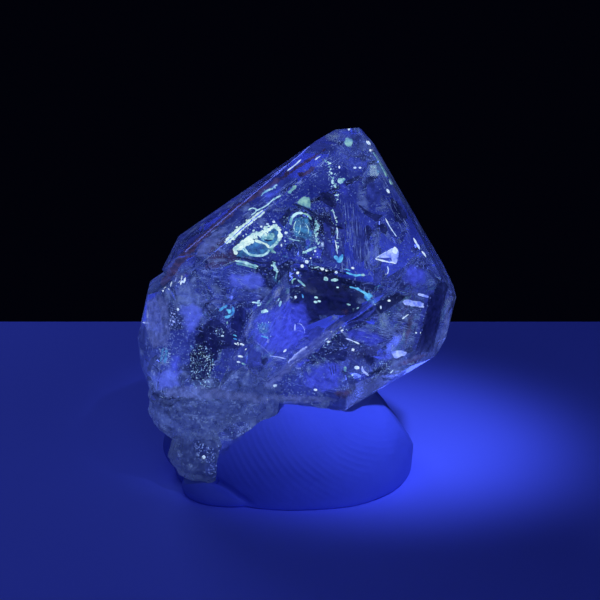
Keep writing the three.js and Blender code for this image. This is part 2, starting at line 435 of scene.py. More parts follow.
def refine(mesh, spacing):
    """Covers every flat face with small, even triangles that share its outline."""
    split_edges(mesh, spacing)
    for face in list(mesh.faces):
        normal = face.normal.copy()
        corners = list(face.verts)
        origin = corners[0].co.copy()
        across = normal.orthogonal().normalized()
        up = normal.cross(across)
        flat = [Vector(((v.co - origin).dot(across), (v.co - origin).dot(up))) for v in corners]
        inside = grid_over(np.array(flat), spacing) if len(corners) > 3 else []
        if not inside and len(corners) == 3:
            continue
        spots, _, triangles, sources, _, _ = delaunay_2d_cdt(
            flat + inside, [], [list(range(len(corners)))], 1, 1e-7)
        made = []
        for i, spot in enumerate(spots):
            old = next((k for k in sources[i] if k < len(corners)), None)
            place = origin + across * spot.x + up * spot.y
            made.append(corners[old] if old is not None else mesh.verts.new(place))
        mesh.faces.remove(face)
        for triangle in triangles:
            if len(set(triangle)) == 3:
                mesh.faces.new([made[k] for k in triangle])


def frosted(point):
    """True on the broken stem, whose upper edge is ragged."""
    ragged = noise.noise(point / FROST_PATCH)
    return (in_stem(point) < FROST_REACH + FROST_REACH_RAGGED * ragged
            and point.z < FROST_TOP + FROST_TOP_RAGGED * ragged)


def striations(point):
    """The height of the lines that run across a prism's faces."""
    along = point.dot(LONG_AXIS)
    across = point.dot(SIDE_AXIS) + STRIATION_SLANT * point.dot(FRONT_AXIS)
    return sum(height * noise.noise(Vector((along / spacing, across / length, seed)))
               for height, spacing, length, seed in STRIATIONS)


def relief(vertex):
    """How far the stone's surface stands out at a vertex."""
    point = vertex.co
    if in_stem(point) < ROUGH_REACH:
        waist = WAIST_FILL * math.exp(-((point - WAIST).length / WAIST_REACH) ** 2)
        return layered(point, RUBBLE, waist)
    if any(edge.calc_face_angle() > FACET_ANGLE for edge in vertex.link_edges):
        return 0
    if abs(vertex.normal.dot(LONG_AXIS)) < PRISM_FACING:
        return striations(point)
    return layered(point, FACE_WAVES)


# The painted glow of the haze, which stands in for light in the stone, on the near side and the
# far side; the darkest clouds are painted shade. Each cloud in it is its middle, half width and
# half height in pixels, its tilt, its colour, and how far the glow takes that colour.
NEAR_SIDE_GLOW = (0.020, 0.033, 0.19)
FAR_SIDE_GLOW = (0.008, 0.013, 0.085)
GLOW_AND_SHADE_CLOUDS = {
    "tip": ((350, 155, 24, 22, 0), (0.046, 0.076, 0.34), 0.9),
    "left_band": ((262, 188, 95, 7, -37), (0.014, 0.014, 0.07), 0.9),
    "inner_face": ((290, 222, 60, 26, -35), (0.012, 0.019, 0.11), 0.88),
    "slab": ((276, 190, 14, 6, -40), (0.066, 0.115, 0.74), 0.9),
    "left_field": ((222, 236, 26, 10, -44), (0.050, 0.085, 0.30), 0.8),
    "teal_ring": ((303, 228, 14, 18, 0), (0.022, 0.075, 0.18), 0.8),
    "dark_core": ((333, 230, 22, 36, -6), (0.010, 0.013, 0.07), 0.9),
    "right_strip": ((382, 172, 6, 26, -27), (0.050, 0.085, 0.19), 0.8),
    "right_dark": ((400, 216, 12, 24, -27), (0.010, 0.018, 0.09), 0.9),
    "right_field": ((396, 268, 30, 22, 0), (0.036, 0.060, 0.30), 0.8),
    "left_glow": ((228, 281, 40, 13, 6), (0.036, 0.064, 0.42), 0.85),
    "left_edge": ((155, 318, 14, 32, 8), (0.046, 0.076, 0.30), 0.85),
    "left_face": ((192, 320, 14, 26, 8), (0.056, 0.092, 0.44), 0.85),
    "left_foot": ((174, 376, 24, 20, 0), (0.090, 0.150, 0.66), 0.85),
    "wing_dark": ((238, 320, 12, 18, 0), (0.001, 0.002, 0.02), 1.0),
    "spark_dark": ((204, 354, 15, 29, 6), (0, 0, 0), 1.0),
    "violet": ((284, 328, 34, 28, 0), (0.032, 0.046, 0.50), 0.85),
    "arch_glow": ((262, 328, 14, 16, 0), (0.045, 0.080, 0.42), 0.7),
    "black_window": ((332, 294, 33, 22, 22), (0, 0, 0), 1.0),
    "prism_window": ((430, 322, 10, 34, 13), (0.001, 0.002, 0.02), 1.0),
    "outer_strip": ((450, 318, 4, 32, 12), (0.060, 0.085, 0.26), 0.9),
    "prism_left": ((404, 324, 12, 24, 8), (0.050, 0.066, 0.22), 0.8),
    "front_face": ((325, 376, 36, 18, -24), (0.032, 0.050, 0.36), 0.85),
    "lower_band": ((405, 362, 30, 10, -24), (0.060, 0.092, 0.42), 0.85),
    "stem_fade": ((200, 396, 56, 12, 0), (0.066, 0.108, 0.36), 0.9),
    "stem_fade_right": ((266, 393, 20, 10, 15), (0.060, 0.095, 0.32), 0.9),
}
# The stem's painted glow, darker low down as a painted shade where it sinks into the putty.
STEM_GLOW = (0.042, 0.068, 0.24)
STEM_GLOW_LOW, STEM_GLOW_HIGH = 2, 6  # its painted glow grows between these heights, so the stem is darker low down, a painted shade where the putty meets it
STEM_GLOW_LEAST = 0.10                # from this share of the full glow
# The painted glow on the rough surface of the broken lower edge.
BREAK_GLOW = (0.042, 0.052, 0.17)


def painted_glow_at(point, normal):
    """The colour of the painted glow at a point of the stone's surface: in clouds of painted light
    and painted shade on the near side, dimmer on the far side, and darker low on the stem.
    """
    if frosted(point):
        share = clamped((point.z - STEM_GLOW_LOW) / (STEM_GLOW_HIGH - STEM_GLOW_LOW))
        return [each * (STEM_GLOW_LEAST + (1 - STEM_GLOW_LEAST) * share) for each in STEM_GLOW]
    if on_break(point):
        return BREAK_GLOW
    if normal.dot(point - CAMERA_PLACE) > 0:
        return FAR_SIDE_GLOW
    painted_glow = np.array(NEAR_SIDE_GLOW)
    u, v = pixel_of(point)
    for (cloud_u, cloud_v, wide, tall, tilt), colour, hold in GLOW_AND_SHADE_CLOUDS.values():
        turn = math.radians(tilt)
        x = (u - cloud_u) * math.cos(turn) + (v - cloud_v) * math.sin(turn)
        y = (v - cloud_v) * math.cos(turn) - (u - cloud_u) * math.sin(turn)
        spread = (x / wide) ** 2 + (y / tall) ** 2
        painted_glow += (np.array(colour) - painted_glow) * hold / (1 + spread ** 2)
    return painted_glow


# Worn corners: a pixel on each facet, and how far it looks right, away and up.
WORN_CORNERS = (
    (359.5, 129.0, 0.60, -0.35, 0.80),
    (365.0, 136.0, 0.85, -0.25, 0.55),
)
# The broken lower edge at the right: a point on the break, the way it faces, how much of what
# stands out beyond it is left, and where across the stone it starts and is whole.
BREAK_PLACE = Vector((10.5, -1.05, 9.52))
BREAK_FACING = Vector((0.409, 0.10, -0.913)).normalized()
BREAK_KEPT = 0.08
BREAK_STARTS, BREAK_WHOLE = 3.2, 4.7
BREAK_COVER = 0.1          # what is sealed in the stone stays this far under the break
BREAK_FROST_STARTS = 3.7   # and its surface is frosted from here
BREAK_LEVEL = 0.003        # a point this far beyond the break's plane is on it


def beyond_break(point):
    """How far out a point is from the plane of the break."""
    return max(0, (point - BREAK_PLACE).dot(BREAK_FACING))


def on_break(point):
    """True on the rough surface that the broken lower edge leaves."""
    return point.x > BREAK_FROST_STARTS and beyond_break(point) > BREAK_LEVEL


def broken_off(point):
    """A point of the stone's surface once the lower edge is broken off."""
    share = clamped((point.x - BREAK_STARTS) / (BREAK_WHOLE - BREAK_STARTS))
    return point - BREAK_FACING * beyond_break(point) * (1 - BREAK_KEPT) * share


def behind_break(point):
    """A point of something sealed in the stone, kept under the break."""
    if point.x < BREAK_STARTS:
        return point
    return point - BREAK_FACING * beyond_break(point + BREAK_FACING * BREAK_COVER)


def wear(mesh):
    """Cuts the sharpest corners off."""
    for u, v, right, away, up in WORN_CORNERS:
        facing = (CAMERA_RIGHT * right + CAMERA_FORWARD * away + CAMERA_UP * up).normalized()
        place = CAMERA_PLACE + photo_ray(u, v) * CAMERA_DISTANCE
        geometry = [*mesh.verts, *mesh.edges, *mesh.faces]
        cut = bmesh.ops.bisect_plane(mesh, geom=geometry, plane_co=place, plane_no=facing,
                                     clear_outer=True)
        rim = [each for each in cut["geom_cut"] if isinstance(each, bmesh.types.BMEdge)]
        bmesh.ops.contextual_create(mesh, geom=rim)


def stone_mesh():
    """The CAD's stone in small triangles, worn, broken and rough where it should be."""
    mesh = bmesh.new()
    mesh.from_mesh(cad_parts["quartz_crystal"].data)
    mesh.transform(Matrix.Scale(1 / MM, 4))
    bmesh.ops.remove_doubles(mesh, verts=mesh.verts, dist=WELD)
    bmesh.ops.dissolve_limit(mesh, angle_limit=FLAT_ANGLE, verts=mesh.verts, edges=mesh.edges)
    wear(mesh)
    mesh.normal_update()
    refine(mesh, FINE_EDGE)
    bmesh.ops.delete(mesh, geom=[v for v in mesh.verts if not v.link_faces], context="VERTS")
    for vertex in mesh.verts:
        vertex.co = broken_off(vertex.co)
    mesh.normal_update()
    moves = [v.normal * relief(v) for v in mesh.verts]
    for vertex, move in zip(mesh.verts, moves):
        vertex.co += move
    for face in mesh.faces:
        face.smooth = True
        middle = face.calc_center_median()
        face.material_index = 1 if frosted(middle) or on_break(middle) else 0
    mesh.normal_update()
    # The painted glow at each vertex, which the quartz shines with.
    painted_glows = [(*painted_glow_at(v.co, v.normal), 1) for v in mesh.verts]
    mesh.transform(Matrix.Scale(MM, 4))
    made = bpy.data.meshes.new("stone")
    mesh.to_mesh(made)
    mesh.free()
    layer = made.color_attributes.new("painted_glow", "FLOAT_COLOR", "POINT")
    layer.data.foreach_set("color", np.array(painted_glows, dtype=np.float32).ravel())
    made.set_sharp_from_angle(angle=SHARP_ANGLE)
    return made


def make_stone():
    stone = add_object("stone", stone_mesh(), ("clear_quartz", "frosted_quartz"))
    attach(stone, "root")
    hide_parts("quartz_crystal")


# ---- the putty ----

PUTTY_EDGE = 0.12          # the size of the even mesh's faces
PUTTY_SMOOTHING = 8
PUTTY_WAVES = ((0.03, 0.9),)          # the height and size of its rolls
PUTTY_SINK = 0.05          # how far under the CAD's surface it lies
FOOT, FOOT_RISE = 0.15, 0.6           # relief starts this high, and is whole so much higher
RIDGE_PITCH = 0.5
RIDGE_DEPTH = 0.026
RIDGE_WANDER = ((0.12, 3.0),)         # how far the ridges stray, and the size of the bends
RIDGE_PATCHINESS = 1.1     # how strongly they come and go
RIDGE_PATCH_SIZE = 2.4     # and over what size
RIDGE_PATCH_SEED = Vector((7, 3, 1))
RIDGE_SHARE, RIDGE_LEAST = 0.75, 0.15     # their usual and least share of the depth
WHORL = Vector((382, 388))            # the pixel that the ridges run round
RIDGE_AREA = (302, 450, 74, 44)       # in pixels: their middle, half width and half height
SHOULDER = ((371.5, 389), (412.5, 443))   # the straight right shoulder, from pixel to pixel
SHOULDER_SOFTNESS = 1.8               # how many pixels it takes to round into it
# Folds and scratches: their routes and half widths in pixels, and their depths.
CREASES = {
    "flap": ((209, 478), (229, 491), (252, 509), 3.4, 0.30),
    "right_fold": ((381, 390), (398, 412), (413, 440), 2.2, 0.08),
    "scratch": ((307, 452), (314, 450), (322, 447), 1.3, 0.05),
    "low_scratch": ((306, 491), (312, 486), (318, 480), 1.3, 0.04),
}


def fingerprint(point):
    """The height of the fingerprint's ridges at a point on the putty's front."""
    u, v = pixel_of(point)
    area_u, area_v, wide, tall = RIDGE_AREA
    spread = ((u - area_u) / wide) ** 2 + ((v - area_v) / tall) ** 2
    distance = layered(point, RIDGE_WANDER, (Vector((u, v)) - WHORL).length * PX)
    patch = RIDGE_PATCHINESS * noise.noise(point / RIDGE_PATCH_SIZE + RIDGE_PATCH_SEED)
    strength = clamped(RIDGE_SHARE + patch, RIDGE_LEAST) / (1 + spread ** 3)
    return RIDGE_DEPTH * strength * math.sin(2 * math.pi * distance / RIDGE_PITCH)


def shoulder_cut(point):
    """How far left a point of the putty moves, to leave the right shoulder straight."""
    u, v = pixel_of(point)
    (high_u, high_v), (low_u, low_v) = SHOULDER
    edge = high_u + (low_u - high_u) * (v - high_v) / (low_v - high_v)
    beyond = max(0, u - edge) / SHOULDER_SOFTNESS
    return (beyond - math.log(1 + beyond)) * SHOULDER_SOFTNESS * PX if v < low_v else 0


def crease_depth(point):
    """How deep the folds and scratches are at a point on the putty's front."""
    u, v = pixel_of(point)
    spot, depth = Vector((u, v)), 0
    for *route, width, deep in CREASES.values():
        for start, end in zip(route, route[1:]):
            start, end = Vector(start), Vector(end)
            share = clamped((spot - start).dot(end - start) / (end - start).length_squared)
            away = (spot - start.lerp(end, share)).length
            depth = max(depth, deep * math.exp(-(away / width) ** 2))
    return depth


def evened(name, mesh):
    """A copy of a mesh rebuilt from small even faces, and smoothed, without its materials."""
    rough = add_object(name, mesh.copy())
    remesh = rough.modifiers.new("remesh", "REMESH")
    remesh.mode = "VOXEL"
    remesh.voxel_size = PUTTY_EDGE * MM
    smooth = rough.modifiers.new("smooth", "SMOOTH")
    smooth.iterations = PUTTY_SMOOTHING
    whole = rough.evaluated_get(bpy.context.evaluated_depsgraph_get())
    made = bpy.data.meshes.new_from_object(whole)
    made.name = name
    made.materials.clear()
    bpy.data.objects.remove(rough)
    return made


def putty_mesh():
    """The CAD's putty, softened, with its folds and fingerprints."""
    made = evened("putty_lump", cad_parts["mounting_putty"].data)
    mesh = bmesh.new()
    mesh.from_mesh(made)
    mesh.transform(Matrix.Scale(1 / MM, 4))
    for vertex in mesh.verts:
        vertex.co.x -= shoulder_cut(vertex.co)
    mesh.normal_update()
    moves = []
    for vertex in mesh.verts:
        height = layered(vertex.co, PUTTY_WAVES, -PUTTY_SINK)
        if vertex.normal.dot(vertex.co - CAMERA_PLACE) < 0:
            height += fingerprint(vertex.co) - crease_depth(vertex.co)
        lift = clamped((vertex.co.z - FOOT) / FOOT_RISE)
        moves.append(vertex.normal * height * lift)
    for vertex, move in zip(mesh.verts, moves):
        vertex.co += move
        vertex.co.z = max(vertex.co.z, 0)
    for face in mesh.faces:
        face.smooth = True
    mesh.transform(Matrix.Scale(MM, 4))
    mesh.to_mesh(made)
    mesh.free()
    return made


def make_putty():
    putty = add_object("putty_lump", putty_mesh(), ("soft_putty",))
    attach(putty, "root")
    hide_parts("mounting_putty")


# ---- what is sealed in the stone ----

SKIN = BVHTree.FromPolygons(
    [v.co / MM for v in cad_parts["quartz_crystal"].data.vertices],
    [tuple(p.vertices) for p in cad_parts["quartz_crystal"].data.polygons])
JUST_INSIDE = 0.02
DEEPEST = 0.6              # of the way through the stone
STRAND_SIDES = 8
STRAND_STEP = 1.2          # pixels from ring to ring
STRAND_DEPTH = 0.5
STRAND_FLATNESS = 0.6
STRAND_TIP, STRAND_TAPER = 0.35, 0.5  # its width at the tips, and what each ring adds
STRAND_LUMP = 0.22         # the size of its lumps
DROP_LUMPS = 0.3           # how lumpy a drop is
DROP_LUMP_RATE = 1.7       # how many lumps its radius has
DROP_THICKNESS = 0.5       # of its smaller width
# The grains of a crust: their sizes are shares of its width, and pixels. Each is stretched by
# these ranges, and turned by up to so many degrees.
GRAIN_SHARES, GRAIN_SHARE, GRAIN_LEAST = (0.3, 1.0), 0.2, 0.25
GRAIN_SPREAD, GRAIN_SQUEEZE = 0.34, 0.8
GRAIN_WIDTHS, GRAIN_HEIGHTS, GRAIN_TURN = (0.8, 1.7), (0.7, 1.2), 60
GRAIN_DEPTH, GRAIN_DEPTH_RANGE = 0.45, 0.15
FLAKE_SHAPE = (1, 0.8, 0.35)          # a flake's half axes beside its size
FILM_SWELL = 0.05          # how far a film swells from its middle
FILM_STEP = 1.8            # pixels from point to point
FILM_RIM = 0.3             # a rim of so many pixels stays sharp
FILM_FULL = 3              # so many pixels in, a film is as thick as it gets
FILM_RAG = 3.1             # the size, in pixels, of the rags in its rim
FILM_WAVE, FILM_WAVE_SIZE = 0.12, 9   # how far it rolls, in millimetres, over so many pixels
WISP_RINGS, WISP_SPOKES = 3, 18
WISP_SWELL = 0.02
WISP_SOLID = 0.75          # how whole a wisp is in the middle
WISP_RAGS = 0.7
WISP_ROOM = 0.8            # how far to the stone's surface a wisp may reach


def bend(ray, normal, ratio):
    """The direction of a ray once it has passed into the stone."""
    cosine = -ray.dot(normal)
    sine_squared = ratio ** 2 * (1 - cosine ** 2)
    return ratio * ray + (ratio * cosine - math.sqrt(1 - sine_squared)) * normal


def under(u, v, depth):
    """The place in the stone that is seen at a pixel, at a depth."""
    ray = photo_ray(u, v).normalized()
    place, normal, _, _ = SKIN.ray_cast(CAMERA_PLACE, ray)
    if place is None:
        return None
    if normal.dot(ray) > 0:
        normal = -normal
    inward = bend(ray, normal, 1 / QUARTZ_IOR)
    _, _, _, room = SKIN.ray_cast(place + inward * JUST_INSIDE, inward)
    return place + inward * min(depth, DEEPEST * (room or depth))


class Pile:
    """Small closed shapes that end up in one mesh."""

    def __init__(self):
        self.places = []
        self.solid = []
        self.faces = []

    def add(self, places, faces, solid=None):
        start = len(self.places)
        self.places += [behind_break(place) * MM for place in places]
        self.solid += solid or [1] * len(places)
        self.faces += [tuple(start + k for k in face) for face in faces]

    def make(self, name, material_name, smooth=True):
        mesh = bpy.data.meshes.new(name)
        mesh.from_pydata(self.places, [], self.faces)
        layer = mesh.attributes.new("solid", "FLOAT", "POINT")
        layer.data.foreach_set("value", self.solid)
        for polygon in mesh.polygons:
            polygon.use_smooth = smooth
        made = add_object(name, mesh, (material_name,))
        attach(made, "root")
        return made


def smooth_route(points, step):
    """Points about a step apart on a smooth curve through the given ones."""
    points = [Vector(p) for p in points]
    ends = [2 * points[0] - points[1], *points, 2 * points[-1] - points[-2]]
    route = []
    for before, here, there, after in zip(ends, ends[1:], ends[2:], ends[3:]):
        count = max(1, round((there - here).length / step))
        for i in range(count):
            t = i / count
            route.append(0.5 * (2 * here + (there - before) * t
                                + (2 * before - 5 * here + 4 * there - after) * t ** 2
                                + (3 * here - before - 3 * there + after) * t ** 3))
    return [*route, points[-1]]


def strand(pile, points, width, solid, lumps=0.56):
    """A lumpy thread along a route of pixels, as wide as so many pixels."""
    sides = STRAND_SIDES
    centres = [under(p.x, p.y, STRAND_DEPTH) for p in smooth_route(points, STRAND_STEP)]
    centres = [c for c in centres if c is not None]
    places = []
    for i, centre in enumerate(centres):
        ahead = centres[min(i + 1, len(centres) - 1)] - centres[max(i - 1, 0)]
        across = ahead.cross(CAMERA_FORWARD).normalized()
        inward = across.cross(ahead).normalized()
        taper = min(1, STRAND_TIP + STRAND_TAPER * min(i, len(centres) - 1 - i))
        bump = 1 + lumps * noise.noise(centre / STRAND_LUMP)
        radius = 0.5 * width * PX * taper * bump
        for k in range(sides):
            angle = 2 * math.pi * k / sides
            out = math.cos(angle) * across + STRAND_FLATNESS * math.sin(angle) * inward
            places.append(centre + radius * out)
    faces = [
        (i * sides + k, i * sides + (k + 1) % sides,
         (i + 1) * sides + (k + 1) % sides, (i + 1) * sides + k)
        for i in range(len(centres) - 1) for k in range(sides)
    ]
    faces.append(tuple(reversed(range(sides))))
    faces.append(tuple((len(centres) - 1) * sides + k for k in range(sides)))
    pile.add(places, faces, [solid] * len(places))


def ball(subdivisions):
    """The corners and the faces of a ball with a radius of 1."""
    mesh = bmesh.new()
    bmesh.ops.create_icosphere(mesh, subdivisions=subdivisions, radius=1)
    places = [v.co.copy() for v in mesh.verts]
    faces = [tuple(v.index for v in reversed(f.verts)) for f in mesh.faces]
    mesh.free()
    return places, faces


DROP, GRAIN = ball(2), ball(1)


def bead(pile, u, v, wide, tall, tilt=0, depth=0.35, shape=DROP):
    """A drop, as wide and tall as twice the given pixels, turned by a tilt."""
    centre = under(u, v, depth)
    if centre is None:
        return
    turn = math.radians(tilt)
    across = CAMERA_RIGHT * math.cos(turn) - CAMERA_UP * math.sin(turn)
    down = -CAMERA_UP * math.cos(turn) - CAMERA_RIGHT * math.sin(turn)
    places = []
    corners, faces = shape
    for co in corners:
        co = co * (1 + DROP_LUMPS * noise.noise(co * DROP_LUMP_RATE + centre))
        thick = co.y * DROP_THICKNESS * min(wide, tall)
        places.append(centre + PX * (co.x * wide * across + co.z * tall * down
                                     + thick * CAMERA_FORWARD))
    pile.add(places, faces)


def crust(pile, points, width, grains, seed):
    """A lacy crust of little grains along a route of pixels."""
    chance = random.Random(seed)
    route = smooth_route(points, 1.0)
    for _ in range(grains):
        spot = chance.choice(route)
        size = chance.uniform(*GRAIN_SHARES) * width * GRAIN_SHARE + GRAIN_LEAST
        away = width * GRAIN_SPREAD
        bead(pile, spot.x + chance.gauss(0, away) * GRAIN_SQUEEZE,
             spot.y + chance.gauss(0, away) * GRAIN_SQUEEZE,
             size * chance.uniform(*GRAIN_WIDTHS), size * chance.uniform(*GRAIN_HEIGHTS),
             chance.uniform(-GRAIN_TURN, GRAIN_TURN),
             GRAIN_DEPTH + chance.uniform(-GRAIN_DEPTH_RANGE, GRAIN_DEPTH_RANGE), GRAIN)


def ragged_rim(outline, ragged):
    """An outline in small steps that stray from it by some pixels."""
    rim = []
    for start, end in zip(outline, [*outline[1:], outline[0]]):
        start, end = Vector(start), Vector(end)
        count = max(1, round((end - start).length / FILM_STEP))
        for i in range(count):
            spot = start.lerp(end, i / count)
            shake = Vector([noise.noise(Vector((spot.x, spot.y, seed)) / FILM_RAG)
                            for seed in (1, 8)])
            rim.append(spot + ragged * 2 * shake)
    return rim


def film(pile, outline, depth, soft, hold, ragged):
    """A thin closed lens that fills an outline of pixels. Its rim is soft for so many pixels."""
    rim = ragged_rim(outline, ragged)
    edge = np.array(rim)
    inside = grid_over(edge, FILM_STEP)
    spots, _, triangles, _, _, _ = delaunay_2d_cdt(
        rim + inside, [], [list(range(len(rim)))], 1, 1e-6)
    seen = {}
    for i in sorted({i for triangle in triangles for i in triangle}):
        wave = FILM_WAVE * noise.noise(Vector((spots[i].x, spots[i].y, 5)) / FILM_WAVE_SIZE)
        place = under(spots[i].x, spots[i].y, depth + wave)
        if place is not None:
            seen[i] = place
    order = list(seen)
    reach = dict(zip(order, distance_to_outline(np.array([spots[i] for i in order]), edge)))
    number = {i: k for k, i in enumerate(order)}
    places, back = [seen[i] for i in order], dict(number)
    for i in order:
        if reach[i] > FILM_RIM:
            swell = CAMERA_FORWARD * FILM_SWELL * min(1, reach[i] / FILM_FULL)
            back[i] = len(places)
            places[number[i]] = seen[i] - swell
            places.append(seen[i] + swell)
    solid = [hold * (min(1, reach[i] / soft) if soft else 1) for i in order]
    solid += [solid[number[i]] for i in order if reach[i] > FILM_RIM]
    faces = []
    for triangle in triangles:
        if all(i in seen for i in triangle) and any(reach[i] > FILM_RIM for i in triangle):
            faces.append(tuple(number[i] for i in reversed(triangle)))
            faces.append(tuple(back[i] for i in triangle))
    pile.add(places, faces, solid)


def wisp(pile, centre, facing, long_reach, short_reach, chance):
    """A patch of healed crack: a thin flat lens with a ragged outline, kept inside the stone."""
    rings, spokes = WISP_RINGS, WISP_SPOKES
    across = facing.orthogonal().normalized()
    across = Matrix.Rotation(chance.uniform(0, 2 * math.pi), 3, facing) @ across
    up = facing.cross(across)
    phase = chance.uniform(0, 50)
    places = [centre - facing * WISP_SWELL, centre + facing * WISP_SWELL]
    solid = [WISP_SOLID, WISP_SOLID]
    for k in range(spokes):
        angle = 2 * math.pi * k / spokes
        way = across * math.cos(angle) * long_reach + up * math.sin(angle) * short_reach
        way *= 1 + WISP_RAGS * noise.noise(Vector((math.cos(angle), math.sin(angle), phase)))
        reach = way.length
        _, _, _, room = SKIN.ray_cast(centre, way.normalized())
        way = way.normalized() * min(reach, WISP_ROOM * (room or reach))
        for ring in range(1, rings):
            share, swell = ring / rings, WISP_SWELL * (1 - ring / rings)
            places += [centre + way * share - facing * swell, centre + way * share + facing * swell]
            solid += [WISP_SOLID * (1 - share)] * 2
        places.append(centre + way)
        solid.append(0)
    step = 2 * rings - 1
    faces = []
    for k in range(spokes):
        here, there = 2 + k * step, 2 + (k + 1) % spokes * step
        faces += [(0, there, here), (1, here + 1, there + 1)]
        for ring in range(rings - 2):
            a, b = here + 2 * ring, there + 2 * ring
            faces += [(a, b, b + 2, a + 2), (a + 1, a + 3, b + 3, b + 1)]
        a, b = here + 2 * (rings - 2), there + 2 * (rings - 2)
        faces += [(a, b, b + 2, a + 2), (a + 1, a + 2, b + 2, b + 1)]
    pile.add(places, faces, solid)


def inside_outline(u, v, outline):
    """True if a pixel is inside an outline."""
    inside = False
    for (u0, v0), (u1, v1) in zip(outline, [*outline[1:], outline[0]]):
        if (v0 > v) != (v1 > v) and u < (u1 - u0) * (v - v0) / (v1 - v0) + u0:
            inside = not inside
    return inside


def scattered(outline, count, chance):
    """So many random pixels inside an outline."""
    us, vs = [p[0] for p in outline], [p[1] for p in outline]
    found = []
    while len(found) < count:
        u, v = chance.uniform(min(us), max(us)), chance.uniform(min(vs), max(vs))
        if inside_outline(u, v, outline):
            found.append((u, v))
    return found


OCTAHEDRON = ((0, 2, 4), (2, 1, 4), (1, 3, 4), (3, 0, 4), (2, 0, 5), (1, 2, 5), (3, 1, 5),
              (0, 3, 5))


def flake(pile, centre, axes):
    """A small double pyramid with three half axes."""
    places = [centre + axes[0], centre - axes[0], centre + axes[1], centre - axes[1],
              centre + axes[2], centre - axes[2]]
    pile.add(places, OCTAHEDRON)


def dust(pile, outline, count, sizes, depths, seed):
    """Tiny flakes scattered under an outline. Sizes are half widths in pixels."""
    chance = random.Random(seed)
    for u, v in scattered(outline, count, chance):
        centre = under(u, v, chance.uniform(*depths))
        size = PX * sizes[0] * (sizes[1] / sizes[0]) ** (chance.random() ** 2)
        if centre is None:
            continue
        turn = Vector([chance.gauss(0, 1) for _ in range(3)]).normalized()
        side = turn.orthogonal().normalized()
        axes = (turn, side, turn.cross(side))
        flake(pile, centre, [axis * size * share for axis, share in zip(axes, FLAKE_SHAPE)])


def needle(pile, start, end, width, depth):
    """A thin spindle between two pixels."""
    first, last = under(*start, depth), under(*end, depth)
    if first is None or last is None:
        return
    along = (last - first) / 2
    side = along.orthogonal().normalized() * width * PX / 2
    flake(pile, (first + last) / 2, (side, along.normalized().cross(side), along))


# Outlines, routes and drops are written in pixels. A gold strand is its width, how whole it is
# and its route, and any other strand is its width and its route. A crust is its width, how many
# grains it has, and its route. A drop is its place, half width, half height and tilt.
GOLD_STRANDS = {
    "foot": (4.2, 0.70, ((236.5, 246), (235, 250), (236.5, 254.5))),
    "mass": (5.4, 0.72, ((236, 249), (240, 245.5), (246, 240.5), (252, 236.5), (257, 234.5))),
    "mass_low": (4.0, 0.60, ((239, 249.5), (243, 246), (248, 243), (254, 240.5))),
    "top": (3.0, 0.66, ((254, 235.5), (262, 232.5), (269, 229), (276, 225))),
    "corner": (3.6, 0.62, ((274, 226), (278.6, 230), (280, 236), (278, 241))),
    "bar": (4.6, 0.62, ((226, 241.5), (232.6, 235), (240.7, 227.6), (248.7, 221.4))),
    "bar_end": (3.0, 0.66, ((247, 222.6), (256, 215.6), (263.4, 210.6))),
    "loop": (2.4, 0.70, ((254.6, 240.1), (260.5, 242.3), (266.3, 244.5), (269.3, 248.2))),
}
GOLD_CRUSTS = {
    "mass": (7.5, 46, ((237, 248), (243, 242), (248, 238), (254, 235.5), (262, 233), (270, 228.5))),
    "corner": (4.0, 22, ((273, 226), (277, 226), (279.5, 231), (280, 237), (277, 243))),
    "bar": (4.6, 26, ((225, 243), (232.6, 234.8), (240.7, 227.4), (248.7, 221.4), (256, 215.6))),
}
BRIGHT_CRUSTS = {
    "slab": (3.4, 26, ((261, 194.5), (267, 190.8), (273, 187.5), (276.5, 185))),
    "short_drop": (4.0, 22, ((273, 263.6), (275.1, 268), (277, 271))),
    "fall": (2.6, 26, ((332, 208), (336, 220), (337, 236), (338, 252))),
    "disc_rim": (3.4, 64, ((316.2, 222.5), (317.5, 226), (315.5, 231.3), (316.2, 237.2),
        (317.5, 243))),
    "disc_foot": (2.6, 14, ((303, 253), (308, 250.6), (316, 246.7))),
    "chain": (4.0, 34, ((326, 160), (330, 166), (331, 174), (333, 183), (336, 192), (338.5, 202))),
    "loop_inside": (4.4, 24, ((262, 238), (268, 236.5), (274, 236))),
}
